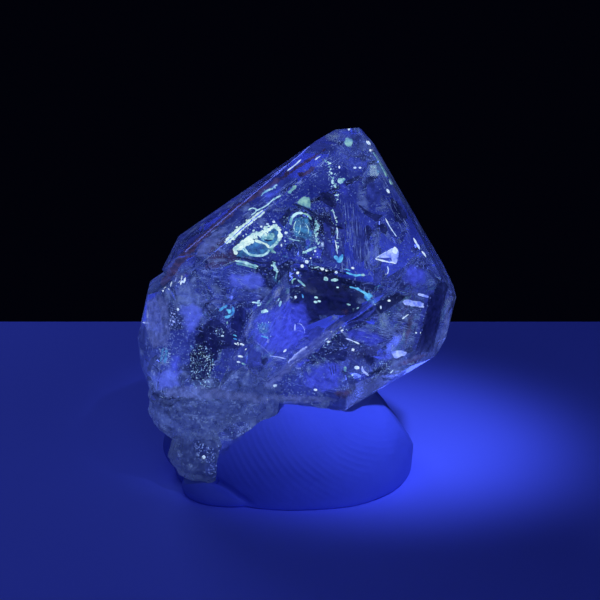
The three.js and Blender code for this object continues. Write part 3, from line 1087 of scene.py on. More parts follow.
BRIGHT_STRANDS = {
    "side": (2.8, ((279, 238), (277.3, 242), (274, 245.4), (270, 248.4))),
    "bar_tip": (1.8, ((256, 210.8), (266.3, 205.7), (272.9, 199.8), (281, 195.4))),
    "curl": (1.6, ((248, 210.3), (251.7, 208.2), (256, 209.3), (255.3, 212.3), (251, 215.2))),
    "inner_squiggle": (1.3, ((266.3, 237.2), (269, 236), (271, 237.5), (274, 236.5))),
    "inner_rib": (1.1, ((262, 235), (264, 238.5), (263, 241))),
    "lower_loop": (1.9, ((241, 247), (244.3, 250.6), (250, 254.4), (256, 255.7), (263, 255.2),
        (267.6, 252.4), (269.3, 249.5))),
    "loop_rib": (1.2, ((243, 246.5), (246.5, 250.4), (248, 253.6))),
    "ring_arc": (2.2, ((291, 225), (291.2, 219.6), (294.2, 215.2), (298.6, 213), (303, 213.3))),
    "disc_rib": (1.0, ((296, 221), (294, 226), (294.5, 231))),
    "disc_rib_two": (0.8, ((300.5, 225), (300, 230), (298, 234))),
    "disc_rib_three": (0.9, ((306, 224), (308.5, 229), (308, 234))),
    "disc_line": (0.9, ((288.3, 238), (294.2, 240), (300, 240.9))),
    "foot": (2.0, ((302.3, 253.3), (307.4, 251), (316.2, 246.7))),
    "lower_bar": (2.2, ((234.8, 260.7), (244.3, 262.5), (250.2, 264.3), (258.3, 266.7))),
    "window_bar": (3.2, ((297.9, 279.8), (301.5, 283), (305.2, 286.4))),
    "left_wing": (1.8, ((251.9, 302.3), (256, 302.6), (261.6, 303.8))),
    "window_top": (1.4, ((314, 268), (317, 267.3), (319, 266.6))),
    "slab_strand": (2.6, ((260, 195), (266.3, 191.2), (272.2, 188), (276.6, 184.4))),
    "drop": (2.3, ((273, 263.6), (275, 267.5), (276.8, 271))),
}
GREEN_STRANDS = {
    "ring_tail": (2.4, ((271, 247), (272.5, 251), (276, 253))),
    "bar_shade": (1.6, ((236, 263.5), (246, 265.5), (257, 268.5))),
    "arc_fade": (1.9, ((303, 213.3), (308, 215.2), (311.5, 219.5))),
    "tip_smear": (2.0, ((288.5, 193.6), (292, 190.5), (296.5, 186))),
    "drop_tail": (1.3, ((277, 271), (276.5, 275), (275.5, 279))),
    "window_wisp": (1.8, ((296, 278.4), (292.5, 280), (292.3, 284))),
    "right_edge": (2.2, ((389.2, 178.5), (390.3, 181.5), (391.8, 184.5))),
    "strip_line": (1.6, ((373, 152), (379, 161), (384, 171), (386.5, 177))),
    "glint_side": (2.4, ((345, 366.5), (345.2, 369), (345, 371.6))),
    "row_last": (2.2, ((241.5, 363), (244, 364.3), (246.5, 365.5))),
    "left_tail": (1.6, ((227.4, 321.4), (227.2, 322.6), (226.9, 324))),
}
CYAN_STRANDS = {
    "upper_wave": (1.8, ((346.1, 272.5), (351.8, 274.3), (356, 275.4), (360.2, 275),
        (364.8, 275.2))),
    "upper_wave_dim": (1.4, ((345.4, 269), (348, 269.7), (350.4, 270.8))),
    "lower_wave": (2.6, ((349.6, 286.9), (355.3, 288.3), (360.9, 290.8), (366.5, 294.3),
        (368.5, 299))),
    "left_lobe": (2.6, ((219.3, 310.6), (223.6, 307.8), (227, 306.6))),
    "left_ring": (2.2, ((232.3, 307.6), (233.5, 312.2), (230.6, 315.8))),
    "left_low_lobe": (3.2, ((224.5, 316.6), (227.5, 317), (230, 315.2))),
    "row_one": (1.5, ((233, 335), (235, 335.3), (236.6, 336.4))),
    "row_two": (1.5, ((233.3, 338.5), (235.3, 339), (237, 339.8))),
    "arrow_left": (3.4, ((334.2, 256.2), (337.4, 258.8), (339.6, 262.8))),
    "arrow_right": (3.2, ((342.6, 254.4), (341, 258.4), (340, 262.6))),
    "block_foot": (1.4, ((261, 335.9), (264.8, 337), (268.7, 338.4))),
    "window_left": (2.0, ((302, 294), (302.8, 296), (303, 298))),
}
WHITE_STRANDS = {
    "slab_dash": (1.8, ((315, 160), (318, 157.5), (320.5, 156))),
    "slab_edge": (1.6, ((301, 159.5), (295, 165), (287, 171))),
    "face_streak": (1.0, ((385.5, 218.5), (390, 227), (396.5, 236.5))),
    "edge_streak": (1.5, ((413.5, 238), (416.5, 243.5), (420, 249.5))),
    "edge_end": (1.4, ((423, 251.6), (424.6, 254.5), (426, 257))),
    "fall_one": (1.1, ((332.5, 209), (334, 214), (335.5, 219))),
    "fall_two": (1.2, ((336.5, 226), (337.5, 232), (337, 239))),
    "fall_three": (1.0, ((335, 240), (336.5, 247), (337.5, 254))),
    "row_three": (1.5, ((234.2, 343.2), (236, 343.9), (237.8, 344.8))),
    "row_four": (2.0, ((239.8, 343.6), (242, 344.3), (244.2, 345.2))),
    "row_five": (2.2, ((238, 356), (240.4, 356.3), (243, 357))),
    "row_six": (2.0, ((236.8, 361.5), (238.5, 362), (240.3, 362.4))),
    "slash": (1.5, ((402.3, 319), (405, 316.8), (408.5, 314.4))),
    "low_streak": (1.7, ((390.4, 373.1), (391.8, 371.5), (393.2, 369.9))),
    "striation_tip": (1.5, ((353.5, 341.3), (356.5, 342.5), (359.4, 344))),
    "right_glint": (2.4, ((387, 189), (388, 191), (389.4, 193))),
    "streak_one": (1.9, ((182, 275.6), (181.4, 280), (180.6, 284.8))),
    "streak_two": (2.1, ((171.8, 281.5), (171.2, 284), (170.6, 286.6))),
    "arrow_base": (1.5, ((375.2, 258.6), (384, 261), (396, 263.4))),
    "arrow_side": (1.6, ((376.5, 257.6), (385, 253), (394, 248.4))),
    "arrow_corner": (3.6, ((394, 247), (396.4, 251), (393.5, 255.5))),
    "arrow_wisp": (1.0, ((387.4, 266), (388.4, 270), (387.8, 274))),
}
LAVENDER_STRANDS = {
    "bar_end": (1.8, ((417.7, 295), (423, 296.3), (428.8, 297.8))),
    "striation_three": (1.2, ((346, 338.4), (350, 339.8), (354, 341.6))),
    "arch_leg": (1.6, ((295, 331), (294.8, 327.5), (295.2, 323.8))),
    "inner_arch": (0.8, ((297.1, 323.8), (300.8, 324.2), (304.2, 329), (304.6, 333.5))),
    "upper_streak": (1.5, ((176.3, 277), (175.7, 279.5), (175, 282))),
    "edge_glow": (3.0, ((147.3, 310), (147.6, 313.6), (147.4, 318))),
    "edge_foot": (1.6, ((142.8, 322.4), (145.8, 322.9), (149, 323))),
    "hook": (2.2, ((362.2, 366.2), (363.1, 370.8), (368.7, 375.5))),
    "hollow_line": (1.3, ((269.5, 355.8), (278, 357), (286.3, 358.9))),
    "ladder_one": (1.2, ((170.8, 312.2), (172.2, 313.2), (173.4, 314.4))),
    "ladder_two": (1.2, ((170.8, 315.2), (172.2, 316.2), (173.6, 317.2))),
    "ladder_three": (1.3, ((171.9, 320.4), (173.5, 321.4), (175.2, 322.6))),
    "ladder_four": (1.3, ((169.6, 323.4), (171.4, 324.4), (173.2, 325.4))),
    "ladder_five": (1.4, ((164.4, 325.4), (165.8, 326.2), (167.4, 327.2))),
}
# Dark lines, of tar and of painted shade beside the petroleum.
DARK_STRANDS = {
    "arc": (2.2, ((292, 204), (303, 207), (316, 215), (329, 224), (344, 229))),
    "stem_crack": (1.6, ((145, 359), (153, 365), (162, 373))),
    "slit": (2.8, ((348.3, 325.3), (355.3, 323.2), (363.1, 321.5))),
    "ring_shadow": (2.0, ((236, 257), (250, 260), (262, 263), (272, 262))),
    "window_line": (2.0, ((358.4, 204.8), (364.7, 210), (372.4, 214), (381, 216))),
    "line_one": (0.9, ((329.4, 366), (330.5, 370), (331.6, 374.8))),
    "line_two": (0.9, ((332.4, 365.3), (333.2, 370), (334, 374.4))),
    "line_three": (0.9, ((335.2, 365), (335.8, 369), (336, 373))),
    "black_mark": (2.8, ((291.6, 395), (294.4, 396.4), (297, 400.5))),
    "loop_gap": (1.5, ((264, 239.5), (268, 240.6), (272.5, 240))),
    "mass_gap": (1.2, ((236, 242), (239.5, 239.5), (242.5, 236.5))),
    "ridge_gap": (1.4, ((313.5, 347), (306, 349), (295, 350))),
    "short_dash": (1.6, ((187.5, 265.9), (190, 267.2), (192.5, 268.7))),
}
# Painted glints; the first two are painted reflections of lamps.
WHITE_BEADS = {
    "lamp_reflection_one": (416.1, 332.9, 1.1, 1.0),
    "lamp_reflection_two": (423, 332.9, 0.9, 1.2),
    "lower_left": (285, 350.6, 2.3, 2.3),
    "pair_one": (354.9, 167.8, 1.8, 1.3),
    "pair_two": (360, 167.8, 1.5, 1.2),
    "pair_three": (339.2, 167.2, 1.1, 1.7),
    "tip_right": (368.6, 142.6, 2.1, 3.2, -32),
    "tip_right_low": (370.4, 150.3, 1.3, 1.5),
    "top": (349.1, 129.3, 1.5, 1.6),
    "front_dot": (315.5, 389.8, 2.0, 1.4),
    "front_glint": (356.9, 367.6, 2.9, 2.1, 14),
    "front_spot": (352.5, 375, 1.1, 1.3),
    "low_left": (275.1, 385.4, 2.2, 1.4, -20),
    "stem_dot": (267.5, 399, 1.2, 1.2),
    "left_dot": (178, 309.4, 1.3, 1.5),
    "left_glint": (165.1, 287.6, 1.9, 1.9),
    "arrow_bright": (395, 251, 3.2, 3.6),
    "stem_spark": (203.5, 457, 1.6, 1.8),
    "disc_one": (286.1, 232.8, 1.8, 1.6),
    "disc_two": (285, 240.9, 1.0, 1.1),
    "disc_three": (281.4, 245.3, 0.9, 1.7),
    "ring_one": (261.2, 226.6, 1.3, 1.2),
    "ring_two": (267.4, 224, 1.5, 1.2),
    "ring_three": (273.7, 221.8, 1.6, 1.4),
    "row_a": (306.7, 261.8, 2.2, 2.1),
    "row_b": (302.3, 265.8, 1.8, 1.7),
    "row_c": (315.1, 251.1, 1.3, 1.2),
    "row_d": (322.3, 269, 2.1, 1.6),
    "row_e": (326.4, 270.6, 1.2, 1.0),
    "row_f": (336.3, 272.2, 1.6, 1.5),
    "row_g": (297.7, 272.5, 1.6, 1.3),
    "row_h": (352.8, 268, 1.7, 1.4),
    "row_i": (310.7, 258.2, 0.9, 0.9),
    "mid_right": (389.2, 300.6, 1.7, 1.3),
    "mid_right_low": (380.8, 307.3, 0.9, 2.0),
    "ridge_a": (340.4, 327.9, 1.6, 1.3),
    "ridge_b": (331.6, 331.6, 1.2, 1.3),
    "ridge_c": (328.3, 341.8, 1.6, 1.3),
    "curl_low": (353, 349.6, 1.7, 1.4),
    "row_j": (222.4, 335.9, 1.5, 1.0),
    "row_k": (245.7, 349.3, 1.7, 1.1),
    "left_bar_dot": (259.1, 300.7, 1.0, 0.9),
    "window_patch": (295.6, 297.1, 1.5, 2.4),
}
BRIGHT_BEADS = {
    "upper": (340.5, 180.9, 3.4, 3.3),
    "upper_knob": (343.8, 179.3, 1.9, 1.7),
    "gold": (290, 192.3, 2.0, 1.5, -35),
    "window_oval": (325.8, 278.5, 2.6, 1.9, 30),
    "window_bar": (334.9, 279.7, 3.9, 1.6),
    "window_dot": (337.7, 287.4, 1.5, 1.4),
    "trio_top": (316, 297.4, 2.1, 2.0),
    "trio_left": (315.6, 302, 2.2, 2.1),
    "trio_right": (319.3, 301.2, 1.9, 1.8),
    "window_low": (348.6, 304.5, 2.3, 1.4, 28),
    "window_corner": (357.7, 308.1, 1.7, 1.5),
    "left_pod": (264, 311.3, 6.8, 2.6, 10),
    "left_triangle": (280.2, 303.8, 2.5, 4.2, -14),
    "left_triangle_top": (278.6, 299.6, 1.5, 1.9),
    "cyan_top": (362.8, 274.8, 2.2, 1.6),
}
GREEN_FILMS = {
    "tip": ((343, 142), (345, 138), (349, 136.6), (353, 139), (354, 143), (351, 147.6),
        (346, 147.6)),
    "triangle": ((295, 203.5), (298.5, 199), (303, 196), (311, 196.9), (311.6, 203), (312.8, 210.3),
        (303, 207.1)),
    "loop_fill": ((262, 237), (267, 233.4), (273, 231.5), (276.6, 236), (273, 240.5), (266, 241.5)),
}
TEAL_FILMS = {
    "strip": ((372.4, 156), (375, 152), (381, 161), (386, 171), (385.2, 175), (375, 175)),
    "mass_halo": ((231, 252), (234, 243), (244, 235), (254, 230), (268, 226), (276, 220),
        (284, 231), (282, 242), (275, 250), (270, 257), (256, 260), (243, 258), (237, 259)),
    "bar_halo": ((220, 246), (231, 231), (247, 218), (262, 206), (268, 208), (254, 221), (238, 235),
        (226, 248)),
    "loop_low": ((247, 247.5), (252, 244.5), (259, 244.8), (265.5, 248), (266.3, 251), (262, 254),
        (254, 254), (249, 251.5)),
    "disc": ((292, 220), (295, 215.5), (301, 214), (308, 216), (312.5, 222), (314, 232), (313, 241),
        (307, 243), (300, 240), (293, 237), (290, 230)),
    "disc_right": ((311, 221), (316, 224), (315, 232), (317, 243), (311, 242)),
    "foot": ((302, 252), (303.5, 245), (309, 243), (315.5, 245.8), (308, 250)),
    "block": ((255.7, 323), (263, 320.5), (271.5, 322), (271, 337), (264, 336.5), (256, 334)),
    "stem_window": ((160, 346), (168, 344), (169, 358), (165, 367), (158, 362)),
    "tail": ((276, 252), (284, 253), (293, 257), (289, 261), (279, 257)),
    "drop_glow": ((274, 271), (281, 281), (277, 287), (270, 280)),
    "sparkle_glow": ((207, 360), (213, 362), (213, 376), (206, 377)),
    "row_glow": ((240, 361), (247, 362), (247, 368), (241, 367)),
}
CYAN_FILMS = {
    "arrow": ((333.5, 256.4), (338, 258), (342.8, 254.6), (341.4, 260), (340, 263.6), (336.5, 260)),
    "fan": ((365, 293.5), (369, 291.5), (374.5, 296), (371, 300.5), (366.5, 303), (363.5, 298)),
    "left_ring": ((223.5, 309.5), (231.5, 307.2), (233, 312.5), (229, 316)),
}
LAVENDER_FILMS = {
    "long_bar": ((400, 300.5), (406.6, 299), (414, 299.6), (424, 301.5), (425, 308.5), (416, 308),
        (406, 305.5)),
    "lower_patch": ((389.5, 350.5), (397.4, 349.5), (409, 351), (405, 357), (394, 359)),
    "arrow_body": ((375, 258), (384, 252.5), (391, 248), (398, 247.6), (399.5, 252), (397.5, 263.8),
        (386, 262), (385, 260.2), (391.5, 260.4), (391, 257.6), (384, 258.4)),
    "wedge": ((285.4, 363), (295, 353.5), (305.2, 345.5), (309, 347.5), (299, 357.5),
        (288.3, 364.5)),
}
VIOLET_FILMS = {
    "centre": ((248, 320), (258, 308), (275, 300), (290, 296), (305, 300), (313, 310), (315, 325),
        (310, 338), (298, 350), (282, 357), (266, 355), (252, 347), (247, 334)),
    "beside_ridge": ((338, 330), (352, 323), (366, 324), (384, 332), (392, 342), (378, 350),
        (356, 348), (343, 342)),
    "front": ((300, 372), (312, 362), (328, 358), (344, 362), (348, 376), (342, 392), (322, 398),
        (304, 392), (297, 382)),
    "bubble": ((224, 274), (238, 269), (256, 271), (270, 276), (272, 288), (258, 294), (238, 292),
        (226, 286)),
    "tip_wedge": ((358, 164), (368, 150), (372, 160), (372, 168), (362, 168)),
    "flame": ((275.5, 207), (279, 209), (278.5, 214), (280, 219), (274, 220.5), (272.5, 213)),
    "slab": ((258, 203), (270, 190), (283, 182), (289, 185), (280, 196), (268, 204), (258, 209)),
    "left_face": ((182, 312), (196, 306), (206, 308), (205, 322), (197, 334), (190, 346),
        (182, 346), (181, 330)),
    "left_low": ((168, 352), (180, 348), (185, 360), (184, 380), (174, 386), (166, 370)),
    "right": ((400, 270), (416, 262), (430, 272), (430, 288), (412, 292), (398, 284)),
    "under_window": ((330, 180), (344, 176), (352, 188), (350, 200), (338, 200)),
    "hook": ((356, 372), (366, 364), (372, 374), (368, 383), (358, 383)),
    "lower_right": ((376, 352), (394, 344), (400, 356), (386, 366), (374, 364)),
}
BLUE_FILMS = {
    "left_face": ((175, 301), (190, 299), (205, 304), (208, 317), (201, 330), (190, 338),
        (179, 334)),
    "left_foot": ((149, 370), (166, 364), (183, 368), (186, 392), (158, 395)),
    "bubble": ((224, 274), (240, 269), (262, 272), (270, 280), (262, 290), (240, 291), (226, 285)),
}
# Milky veils, which glow faintly with painted light.
MILK_FILMS = {
    "ridge": ((341, 318), (352, 321), (340, 333), (323, 346), (306, 360), (290, 373), (272, 388),
        (256, 394), (262, 383), (280, 367), (298, 351), (316, 336), (330, 325)),
    "above_stem": ((158, 386), (190, 384), (226, 386), (258, 392), (276, 396), (268, 406),
        (236, 402), (196, 400), (166, 400)),
    "left_edge": ((144, 300), (158, 292), (170, 300), (172, 326), (168, 348), (150, 350),
        (143, 326)),
    "shoulder": ((196, 244), (214, 230), (232, 222), (222, 240), (208, 256), (192, 262)),
    "lower_band": ((372, 375), (396, 361), (424, 351), (434, 350.5), (422, 358.5), (400, 368),
        (378, 378)),
    "window_ring": ((363.5, 203), (366, 206.5), (372, 209.4), (379, 210.2), (383.2, 207.6),
        (384.4, 199), (384.6, 189), (387, 190), (387, 201), (385.4, 209.6), (380.5, 213),
        (372, 212.2), (365.5, 209)),
    "outer_strip": ((446, 292), (453, 296), (448, 326), (441, 350), (436, 351), (442, 322)),
    "right_strip": ((372, 154), (379, 160), (392, 184), (384, 182), (374, 170)),
    "low_edge": ((262, 394), (290, 392), (330, 396), (346, 402), (310, 405), (276, 404)),
    "step": ((176, 296), (206, 298), (240, 298), (262, 294), (264, 300), (230, 305), (196, 304)),
}
# Dark films, of tar and of painted shade: the shadows, the dark window and the gaps between the
# petroleum.
DARK_FILMS = {
    "disc_heart": ((299.6, 216), (303, 214.8), (306.4, 217), (306, 222), (302, 223.4),
        (299.4, 220)),
    "window": ((299.1, 278.2), (303.3, 272.5), (312.5, 270.1), (320.2, 271.1), (329.3, 273.2),
        (338.4, 275.4), (341.9, 284.5), (350.4, 292.9), (351.8, 300.6), (363.7, 303.4),
        (362.3, 308.3), (353.2, 315.4), (339.1, 315.4), (329.3, 316.8), (316.7, 314.6),
        (311, 305.5), (310.4, 297.1), (305.4, 288)),
    "left_patch": ((202.9, 323.7), (211.3, 322.9), (214.4, 329.8), (215.9, 339), (226.6, 343.6),
        (228.1, 348.1), (219, 351.2), (219, 358.9), (215.1, 361.9), (212.8, 371.1), (210.6, 378.8),
        (200.6, 381.8), (189.9, 379.5), (188.4, 372.6), (189.9, 363.5), (188.4, 355.8),
        (190.7, 349.7), (195.2, 343.6), (194.5, 335.9), (202.1, 329.8)),
    "wing_shadow": ((234.3, 306), (240, 305.6), (245.7, 307.6), (246.5, 318), (246.1, 330),
        (237, 334), (231.2, 329), (230, 322), (233, 314)),
    "window_shadow": ((388.7, 195), (398.5, 201.5), (408, 213.5), (409, 219), (400, 224),
        (394, 221.5), (391, 209)),
    "crescent": ((357.2, 204.4), (363.5, 209.3), (371, 212.4), (378, 213.8), (384, 213.7),
        (381, 219.5), (377, 223), (370.5, 219.5), (365, 215), (360.5, 209.8)),
    "under_crescent": ((378, 225.5), (384, 222), (388, 228), (386.6, 237), (381, 233)),
    "between": ((206, 322), (214, 317), (222, 321), (230, 331), (246, 331), (247.5, 345),
        (236, 350), (222, 349.5), (214, 345), (207, 338)),
    "notch": ((192.5, 256), (198, 251.5), (203.7, 250.4), (204, 258), (203.7, 265.2), (198, 261)),
    "top_shadow": ((318, 192.5), (326, 190.8), (334, 194), (338, 203), (336, 209), (327, 206),
        (320, 202)),
    "diamond": ((363, 228), (369, 224), (373.5, 230), (369, 242), (364, 236)),
    "square_one": ((334.8, 351), (341, 348.6), (347.6, 350), (348, 357), (345, 362.5), (338, 361),
        (335.5, 357)),
    "square_two": ((363.3, 357), (368, 353.8), (374, 356), (375.4, 361.5), (371, 366.5),
        (365, 364)),
    "small_diamond": ((377, 291), (380.5, 287), (384, 291), (380, 296)),
    "spot_one": ((171.2, 287.4), (174.4, 287.2), (174.2, 292), (171.8, 292.4)),
    "spot_two": ((164.4, 291), (167.6, 291.8), (167.8, 295.2), (165, 295)),
    "spot_three": ((152.4, 293.4), (155.4, 294), (155.6, 297.2), (152.8, 297.4)),
    "spot_four": ((155.4, 301.2), (158.4, 301.8), (158.4, 304.2), (155.8, 304.2)),
    "slab_shadow": ((286, 199), (291, 194), (298, 189.6), (294, 195), (288, 200)),
    "ring_dark": ((277.5, 221), (283, 214), (289, 207), (292, 211), (289, 219), (286, 227),
        (282, 228)),
    "under_ring": ((268, 261), (274, 259), (279, 262), (270, 269), (262, 266)),
}
# Painted shade: dark navy films where the stone lies in shade, in its hollows, windows and dark
# core.
NAVY_FILMS = {
    "prism_window": ((432.5, 294.1), (444.5, 295), (442.7, 307), (438, 329), (432.5, 351.9),
        (414.9, 351.4), (417.5, 340), (420.5, 327.4), (426, 308.9)),
    "upright": ((322, 221), (332, 222), (333, 240), (332, 262), (322, 261), (323, 240)),
    "hollow_shade": ((306.7, 333), (312, 328), (318, 325), (326, 328), (321, 337), (313.6, 346.9),
        (309, 346), (307, 340)),
    "window": ((365.4, 184), (371, 181), (378, 182), (382, 188), (382, 200), (378, 207.4),
        (369, 206), (365.4, 196)),
    "right_shade": ((374, 270), (381, 267), (384, 276), (380, 285), (372, 284)),
    "blue_square": ((360.4, 376), (366, 374.5), (368.5, 379), (364, 382), (360.6, 380)),
    "sliver_one": ((335, 203), (341, 201), (344, 230), (342, 262), (336, 262), (338, 232)),
    "sliver_two": ((349, 208), (355, 211), (360, 238), (358, 262), (352, 260), (353, 232)),
    "above_ridge": ((338, 317), (352, 311), (364, 303), (375, 296), (372, 305), (360, 316),
        (346, 323), (332, 329)),
    "row_dark": ((222, 348), (248, 344), (262, 352), (264, 364), (250, 371), (232, 372),
        (219, 362)),
    "under_line": ((272.5, 360.5), (280, 359.4), (285.5, 361.5), (283, 366), (275, 366.5)),
    "band_gap": ((232, 222), (250, 206), (270, 193), (272, 196), (252, 210), (236, 225)),
    "above_bar": ((262, 214), (270, 208), (277, 203), (283, 200), (276, 209), (268, 217),
        (258, 222)),
    "patch_top": ((214, 326), (221, 324), (230, 331), (229, 340), (219, 340), (214.5, 333)),
    "core_left": ((326, 207), (334, 204), (341, 209), (347, 222), (345, 244), (348, 262),
        (338, 267), (333, 250), (335, 232), (330, 218)),
    "core_right": ((350, 214), (358, 219), (366, 232), (371, 246), (366, 262), (357, 265),
        (352, 250), (354, 236), (349, 224)),
}
# The prism's dark face, a painted shadow.
PRISM_DARK = {
    "body": ((431.6, 294.1), (444.5, 295), (442, 308), (437.5, 331), (432.5, 352), (415.4, 351.4),
        (420.5, 334), (426, 312)),
}
# Dark brownish bands along the left edge, at the lower right corner and near the top.
BROWNISH_FILMS = {
    "band": ((330, 144), (338, 142), (320, 156), (298, 171), (270, 190), (242, 209), (214, 232),
        (198, 249), (186, 262), (174, 278), (164, 288), (158, 284), (168, 268), (182, 250),
        (204, 229), (232, 207), (262, 186), (296, 164)),
    "corner": ((390, 366), (404, 359.5), (420, 353), (432, 353), (424, 359), (404, 367.5)),
    "upper_streak": ((296, 174), (310, 166), (321, 164), (314, 172), (300, 181)),
}
# Painted shade with a brown tint, in the dark window, beside the dark prism and low on the front.
BROWN_SHADE_HAZES = {
    "foot": ((326, 391), (340, 385), (356, 388), (354, 398), (338, 402)),
    "window_shade": ((338, 308), (348, 305), (354, 311), (348, 318), (340, 316)),
    "prism_left": ((404, 312), (418, 310), (414, 334), (408, 350), (400, 344)),
}
GOLD_FILMS = {
    "mass_fill": ((236, 250), (240, 243), (249, 236), (255, 236), (252, 241), (244, 246),
        (240, 251)),
}
# Each set is a piece, its material, the depth of its films, how many pixels of their rims are
# soft, how whole they are and how ragged, and the films.
FILM_SETS = (
    ("petroleum_gold", "oil_gold", 0.45, 2, 0.8, 0.7, GOLD_FILMS),
    ("petroleum_green", "oil_green", 0.55, 2, 0.7, 0.7, GREEN_FILMS),
    ("petroleum_teal", "oil_teal", 0.80, 4, 0.52, 0.7, TEAL_FILMS),
    ("petroleum_cyan", "oil_cyan", 0.50, 2, 0.7, 0.7, CYAN_FILMS),
    ("lavender_glints", "lavender_glint", 0.40, 1.2, 0.9, 0.5, LAVENDER_FILMS),
    ("violet_clouds", "violet_glow", 0.90, 8, 0.66, 2.0, VIOLET_FILMS),
    ("blue_glows", "blue_glow", 0.50, 7, 0.70, 2.2, BLUE_FILMS),
    ("milky_veils", "milk", 0.30, 4, 0.72, 1.0, MILK_FILMS),
    ("tar_and_shade_films", "tar_and_shade", 0.80, 2, 1, 0.7, DARK_FILMS),
    ("shaded_hollows", "hollow_shade", 1.00, 3, 0.9, 0.5, NAVY_FILMS),
    ("prism_shadow", "tar_and_shade", 0.20, 0, 1, 0.1, PRISM_DARK),
    ("dark_brown_bands", "brownish_dark", 0.40, 3, 0.80, 1.2, BROWNISH_FILMS),
    ("brown_painted_shade", "brownish_dark", 0.60, 7, 0.62, 1.0, BROWN_SHADE_HAZES),
)
PATCHY = 0.62              # how whole the shining threads are: they fade in and out
GOLD_LUMPS = 0.88          # how lumpy the gold strands are
DROP_SIZE = 0.88           # of the gleam that it makes
SPARK_DEPTHS = (0.15, 0.9)
LINE_SPREAD = 3            # degrees that the growth lines stray from their lean
LINE_WIDTHS, LINE_DEPTHS = (0.35, 0.8), (0.2, 1.2)
CRUST_SEED, VEIL_SEED, LINE_SEED, WISP_SEED, FRACTURE_SEED = 200, 50, 90, 400, 500
# Each set is a piece and the strands in it.
STRAND_SETS = (
    ("petroleum_bright", BRIGHT_STRANDS),
    ("petroleum_green", GREEN_STRANDS),
    ("petroleum_cyan", CYAN_STRANDS),
    ("white_glints", WHITE_STRANDS),
    ("lavender_glints", LAVENDER_STRANDS),
    ("tar_and_shade_films", DARK_STRANDS),
)


def make_inclusions():
    """The glowing petroleum, its tar, painted glints for the light off healed cracks, painted shade
    in the dark places, and the fine veils.
    """
    materials = {"petroleum_bright": "oil_glow", "white_glints": "white_glint"}
    materials |= {name: material for name, material, *_ in FILM_SETS}
    piles = {name: Pile() for name in materials}
    for name, strands in STRAND_SETS:
        for width, route in strands.values():
            strand(piles[name], route, width, 1.0 if name == "tar_and_shade_films" else PATCHY)
    for width, solid, route in GOLD_STRANDS.values():
        strand(piles["petroleum_gold"], route, width, solid, GOLD_LUMPS)
    for name, crusts in (("petroleum_gold", GOLD_CRUSTS), ("petroleum_bright", BRIGHT_CRUSTS)):
        for seed, (width, grains, route) in enumerate(crusts.values()):
            crust(piles[name], route, width, grains, CRUST_SEED + seed)
    for name, beads in (("petroleum_bright", BRIGHT_BEADS), ("white_glints", WHITE_BEADS)):
        for u, v, wide, tall, *tilt in beads.values():
            bead(piles[name], u, v, DROP_SIZE * wide, DROP_SIZE * tall, *tilt)
    for name, _, depth, soft, hold, ragged, films in FILM_SETS:
        for outline in films.values():
            film(piles[name], outline, depth, soft, hold, ragged)
    for name, material in materials.items():
        piles[name].make(name, material)
    make_dust()
    make_cracks("wisps", "wisp", WISPS, WISP_SEED)
    make_cracks("fractures", "fracture", FRACTURES, FRACTURE_SEED)


# An area is its outline, how many pieces are scattered in it and their sizes. A veil's area
# also has their depths, and an area of lines has their lengths and their lean in degrees.
WHOLE_FACE = ((345, 135), (366, 140), (408, 232), (425, 262), (400, 290), (300, 268), (262, 298),
              (180, 296), (165, 280), (215, 232), (280, 190))
LEFT_CRYSTAL = ((150, 300), (228, 304), (262, 300), (240, 350), (222, 395), (165, 398), (146, 350))
FRONT_FACE = ((270, 380), (300, 355), (360, 318), (430, 300), (418, 350), (380, 380), (345, 402),
              (290, 402))
STEM = ((160, 395), (225, 398), (262, 412), (250, 430), (232, 465), (210, 475), (185, 470),
        (160, 425))
SPARK_AREAS = {
    "left_patch": (((190, 346), (200, 343), (212, 351), (215, 374), (206, 380), (191, 378)), 460,
                   (0.22, 1.0)),
    "left_teal": (((159, 346), (168, 344), (171, 356), (168, 366), (160, 362)), 90, (0.2, 0.7)),
    "under_left_patch": (((192, 380), (208, 380), (212, 388), (196, 389)), 50, (0.3, 1.2)),
    "tip_chain": (((326, 160), (337, 164), (341, 203), (334, 204), (327, 180)), 60, (0.3, 1.3)),
    "tip_spots": (((326, 135), (366, 150), (360, 185), (318, 165)), 30, (0.2, 0.8)),
    "beside_rings": (((283, 215), (292, 212), (296, 240), (284, 246)), 60, (0.3, 1.1)),
    "disc": (((292, 218), (312, 216), (314, 240), (294, 240)), 70, (0.2, 0.9)),
    "under_teal": (((300, 256), (318, 248), (330, 262), (306, 270)), 30, (0.3, 1.1)),
    "patch_top": (((306, 264), (345, 268), (345, 273), (310, 268)), 30, (0.3, 1.0)),
    "patch_left": (((286, 286), (300, 284), (303, 298), (290, 300)), 30, (0.3, 1.2)),
    "block": (((256, 322), (271, 322), (271, 337), (257, 336)), 110, (0.3, 1.1)),
    "beside_patch": (((215, 328), (224, 328), (224, 338), (216, 337)), 44, (0.3, 0.8)),
    "row": (((234, 342), (248, 344), (248, 368), (236, 366)), 50, (0.2, 0.8)),
    "ridge": (((344, 323), (348, 327), (324, 348), (321, 344)), 46, (0.3, 1.0)),
    "olive": (((378, 360), (392, 360), (396, 370), (384, 374)), 50, (0.2, 0.8)),
    "fan": (((363, 290), (375, 292), (374, 302), (364, 302)), 40, (0.2, 0.8)),
    "crackle": (((286, 374), (298, 374), (298, 386), (286, 386)), 40, (0.2, 0.7)),
    "front_face": (FRONT_FACE, 120, (0.15, 0.6)),
    "whole": (WHOLE_FACE, 260, (0.15, 0.55)),
    "left_crystal": (LEFT_CRYSTAL, 170, (0.15, 0.6)),
    "stem": (STEM, 170, (0.15, 0.6)),
}
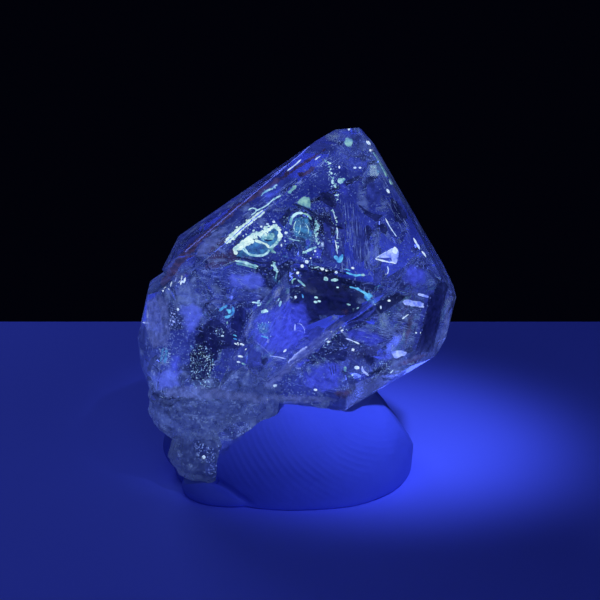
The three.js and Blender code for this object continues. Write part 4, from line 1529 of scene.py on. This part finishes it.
VEIL_AREAS = {
    "whole": (WHOLE_FACE, 5200, (0.25, 1.1), (0.3, 4.0)),
    "centre": (((240, 205), (300, 190), (350, 215), (345, 262), (290, 262), (235, 270)), 1500,
               (0.25, 1.1), (0.3, 2.5)),
    "left_crystal": (LEFT_CRYSTAL, 3000, (0.25, 1.2), (0.2, 3.0)),
    "front_face": (FRONT_FACE, 2600, (0.25, 1.1), (0.2, 3.0)),
    "stem": (STEM, 2200, (0.3, 1.4), (0.1, 1.2)),
}
NEEDLE_AREAS = {
    "upright": (((336, 196), (352, 198), (378, 240), (376, 262), (340, 262)), 110, (5, 24), 4),
    "left_band": (((335, 150), (345, 158), (262, 215), (215, 244), (205, 236)), 60, (5, 20), -55),
    "left_face": (((176, 300), (228, 304), (222, 340), (178, 340)), 40, (3, 9), 70),
    "left_field": (((190, 268), (250, 266), (258, 296), (200, 296)), 60, (4, 16), 76),
    "left_facet": (((146, 300), (174, 300), (172, 345), (144, 345)), 60, (2, 7), 55),
    "front_face": (((360, 320), (425, 310), (412, 345), (350, 340)), 60, (4, 16), 76),
    "striations": (((350, 322), (370, 323), (388, 332), (372, 335), (352, 330)), 26, (8, 22), 76),
    "stem": (((165, 398), (262, 400), (250, 430), (175, 432)), 90, (4, 14), 88),
    "right_edge": (((372, 150), (386, 172), (412, 232), (404, 236), (384, 196)), 40, (4, 14), 28),
}


def make_dust():
    """The painted sparkles, and the fine veils and growth lines, which glow faintly with painted
    light.
    """
    sparks, veils, lines = Pile(), Pile(), Pile()
    for seed, (outline, count, sizes) in enumerate(SPARK_AREAS.values()):
        dust(sparks, outline, count, sizes, SPARK_DEPTHS, seed)
    for seed, (outline, count, sizes, depths) in enumerate(VEIL_AREAS.values()):
        dust(veils, outline, count, sizes, depths, VEIL_SEED + seed)
    for seed, (outline, count, lengths, lean) in enumerate(NEEDLE_AREAS.values()):
        chance = random.Random(LINE_SEED + seed)
        for u, v in scattered(outline, count, chance):
            length = chance.uniform(*lengths)
            angle = math.radians(lean + chance.gauss(0, LINE_SPREAD))
            end = (u + length * math.sin(angle), v + length * math.cos(angle))
            needle(lines, (u, v), end, chance.uniform(*LINE_WIDTHS), chance.uniform(*LINE_DEPTHS))
    sparks.make("sparkles", "spark", smooth=False)
    veils.make("veils", "veil", smooth=False)
    lines.make("growth_lines", "line", smooth=False)


# How many there are, their half lengths, half widths and the least depth of their middles.
WISPS = (54, (0.7, 2.6), (0.3, 1.1), 0.35)
FRACTURES = (24, (1.2, 3.4), (0.8, 2.0), 1.3)


def make_cracks(name, material_name, cracks, seed):
    """Flat cracks all through the stone."""
    count, lengths, widths, least_depth = cracks
    pile, chance = Pile(), random.Random(seed)
    low, high = (Vector(corner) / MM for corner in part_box("quartz_crystal"))
    made = 0
    while made < count:
        centre = Vector([chance.uniform(a, b) for a, b in zip(low, high)])
        nearest, normal, _, away = SKIN.find_nearest(centre)
        if (centre - nearest).dot(normal) > 0 or away < least_depth:
            continue
        facing = Vector([chance.gauss(0, 1) for _ in range(3)]).normalized()
        wisp(pile, centre, facing, chance.uniform(*lengths), chance.uniform(*widths), chance)
        made += 1
    pile.make(name, material_name)


# ---- floor and lights ----

FLOOR_BACK = 40.5          # its back edge meets the dark backdrop
FLOOR_HALF_WIDTH = 260
FLOOR_FRONT = -260


def make_floor():
    corners = [(-FLOOR_HALF_WIDTH, FLOOR_FRONT), (FLOOR_HALF_WIDTH, FLOOR_FRONT),
               (FLOOR_HALF_WIDTH, FLOOR_BACK), (-FLOOR_HALF_WIDTH, FLOOR_BACK)]
    mesh = bpy.data.meshes.new("floor")
    mesh.from_pydata([(x * MM, y * MM, 0) for x, y in corners], [], [(0, 1, 2, 3)])
    add_object("floor", mesh, ("floor",))


LAMP_COLOUR = (0.13, 0.20, 1.0)
TORCH_PLACE, TORCH_AIM, TORCH_POWER = (36, -70, 110), (5.5, 8, 0), 0.86
TORCH_RADIUS, TORCH_CONE = 6, math.radians(16)
# The soft lamps: their places, aims, sizes and powers.
SOFT_LAMPS = {
    "fill": ((-30, -130, 110), (0, 0, 8), 90, 0.046),
    "low": ((75, -95, 22), (4, 0, 6), 30, 0.003),
    "rim": ((-60, 110, 90), (0, 0, 12), 50, 0.03),
}
WORLD_COLOUR, WORLD_STRENGTH = (0.10, 0.12, 0.5), 0.005


def add_lamp(name, kind, place, aim, power):
    data = bpy.data.lights.new(name, kind)
    data.energy = power
    data.color = LAMP_COLOUR
    lamp = bpy.data.objects.new(name, data)
    lamp.location = Vector(place) * MM
    lamp.rotation_mode = "QUATERNION"
    lamp.rotation_quaternion = (Vector(aim) - Vector(place)).to_track_quat("-Z", "Y")
    bpy.context.scene.collection.objects.link(lamp)
    return lamp


def make_lights():
    torch = add_lamp("torch", "SPOT", TORCH_PLACE, TORCH_AIM, TORCH_POWER)
    torch.data.spot_size = TORCH_CONE
    torch.data.spot_blend = 1
    torch.data.shadow_soft_size = TORCH_RADIUS * MM
    torch.visible_glossy = False
    torch.visible_transmission = False
    for name, (place, aim, size, power) in SOFT_LAMPS.items():
        add_lamp(name, "AREA", place, aim, power).data.size = size * MM
    world = bpy.data.worlds.new("dark")
    world.use_nodes = True
    backdrop = world.node_tree.nodes["Background"].inputs
    backdrop["Color"].default_value = (*WORLD_COLOUR, 1)
    backdrop["Strength"].default_value = WORLD_STRENGTH
    bpy.context.scene.world = world
    bpy.context.scene.view_settings.view_transform = "Standard"


make_camera()
make_materials()
make_stone()
make_putty()
make_inclusions()
make_floor()
make_lights()
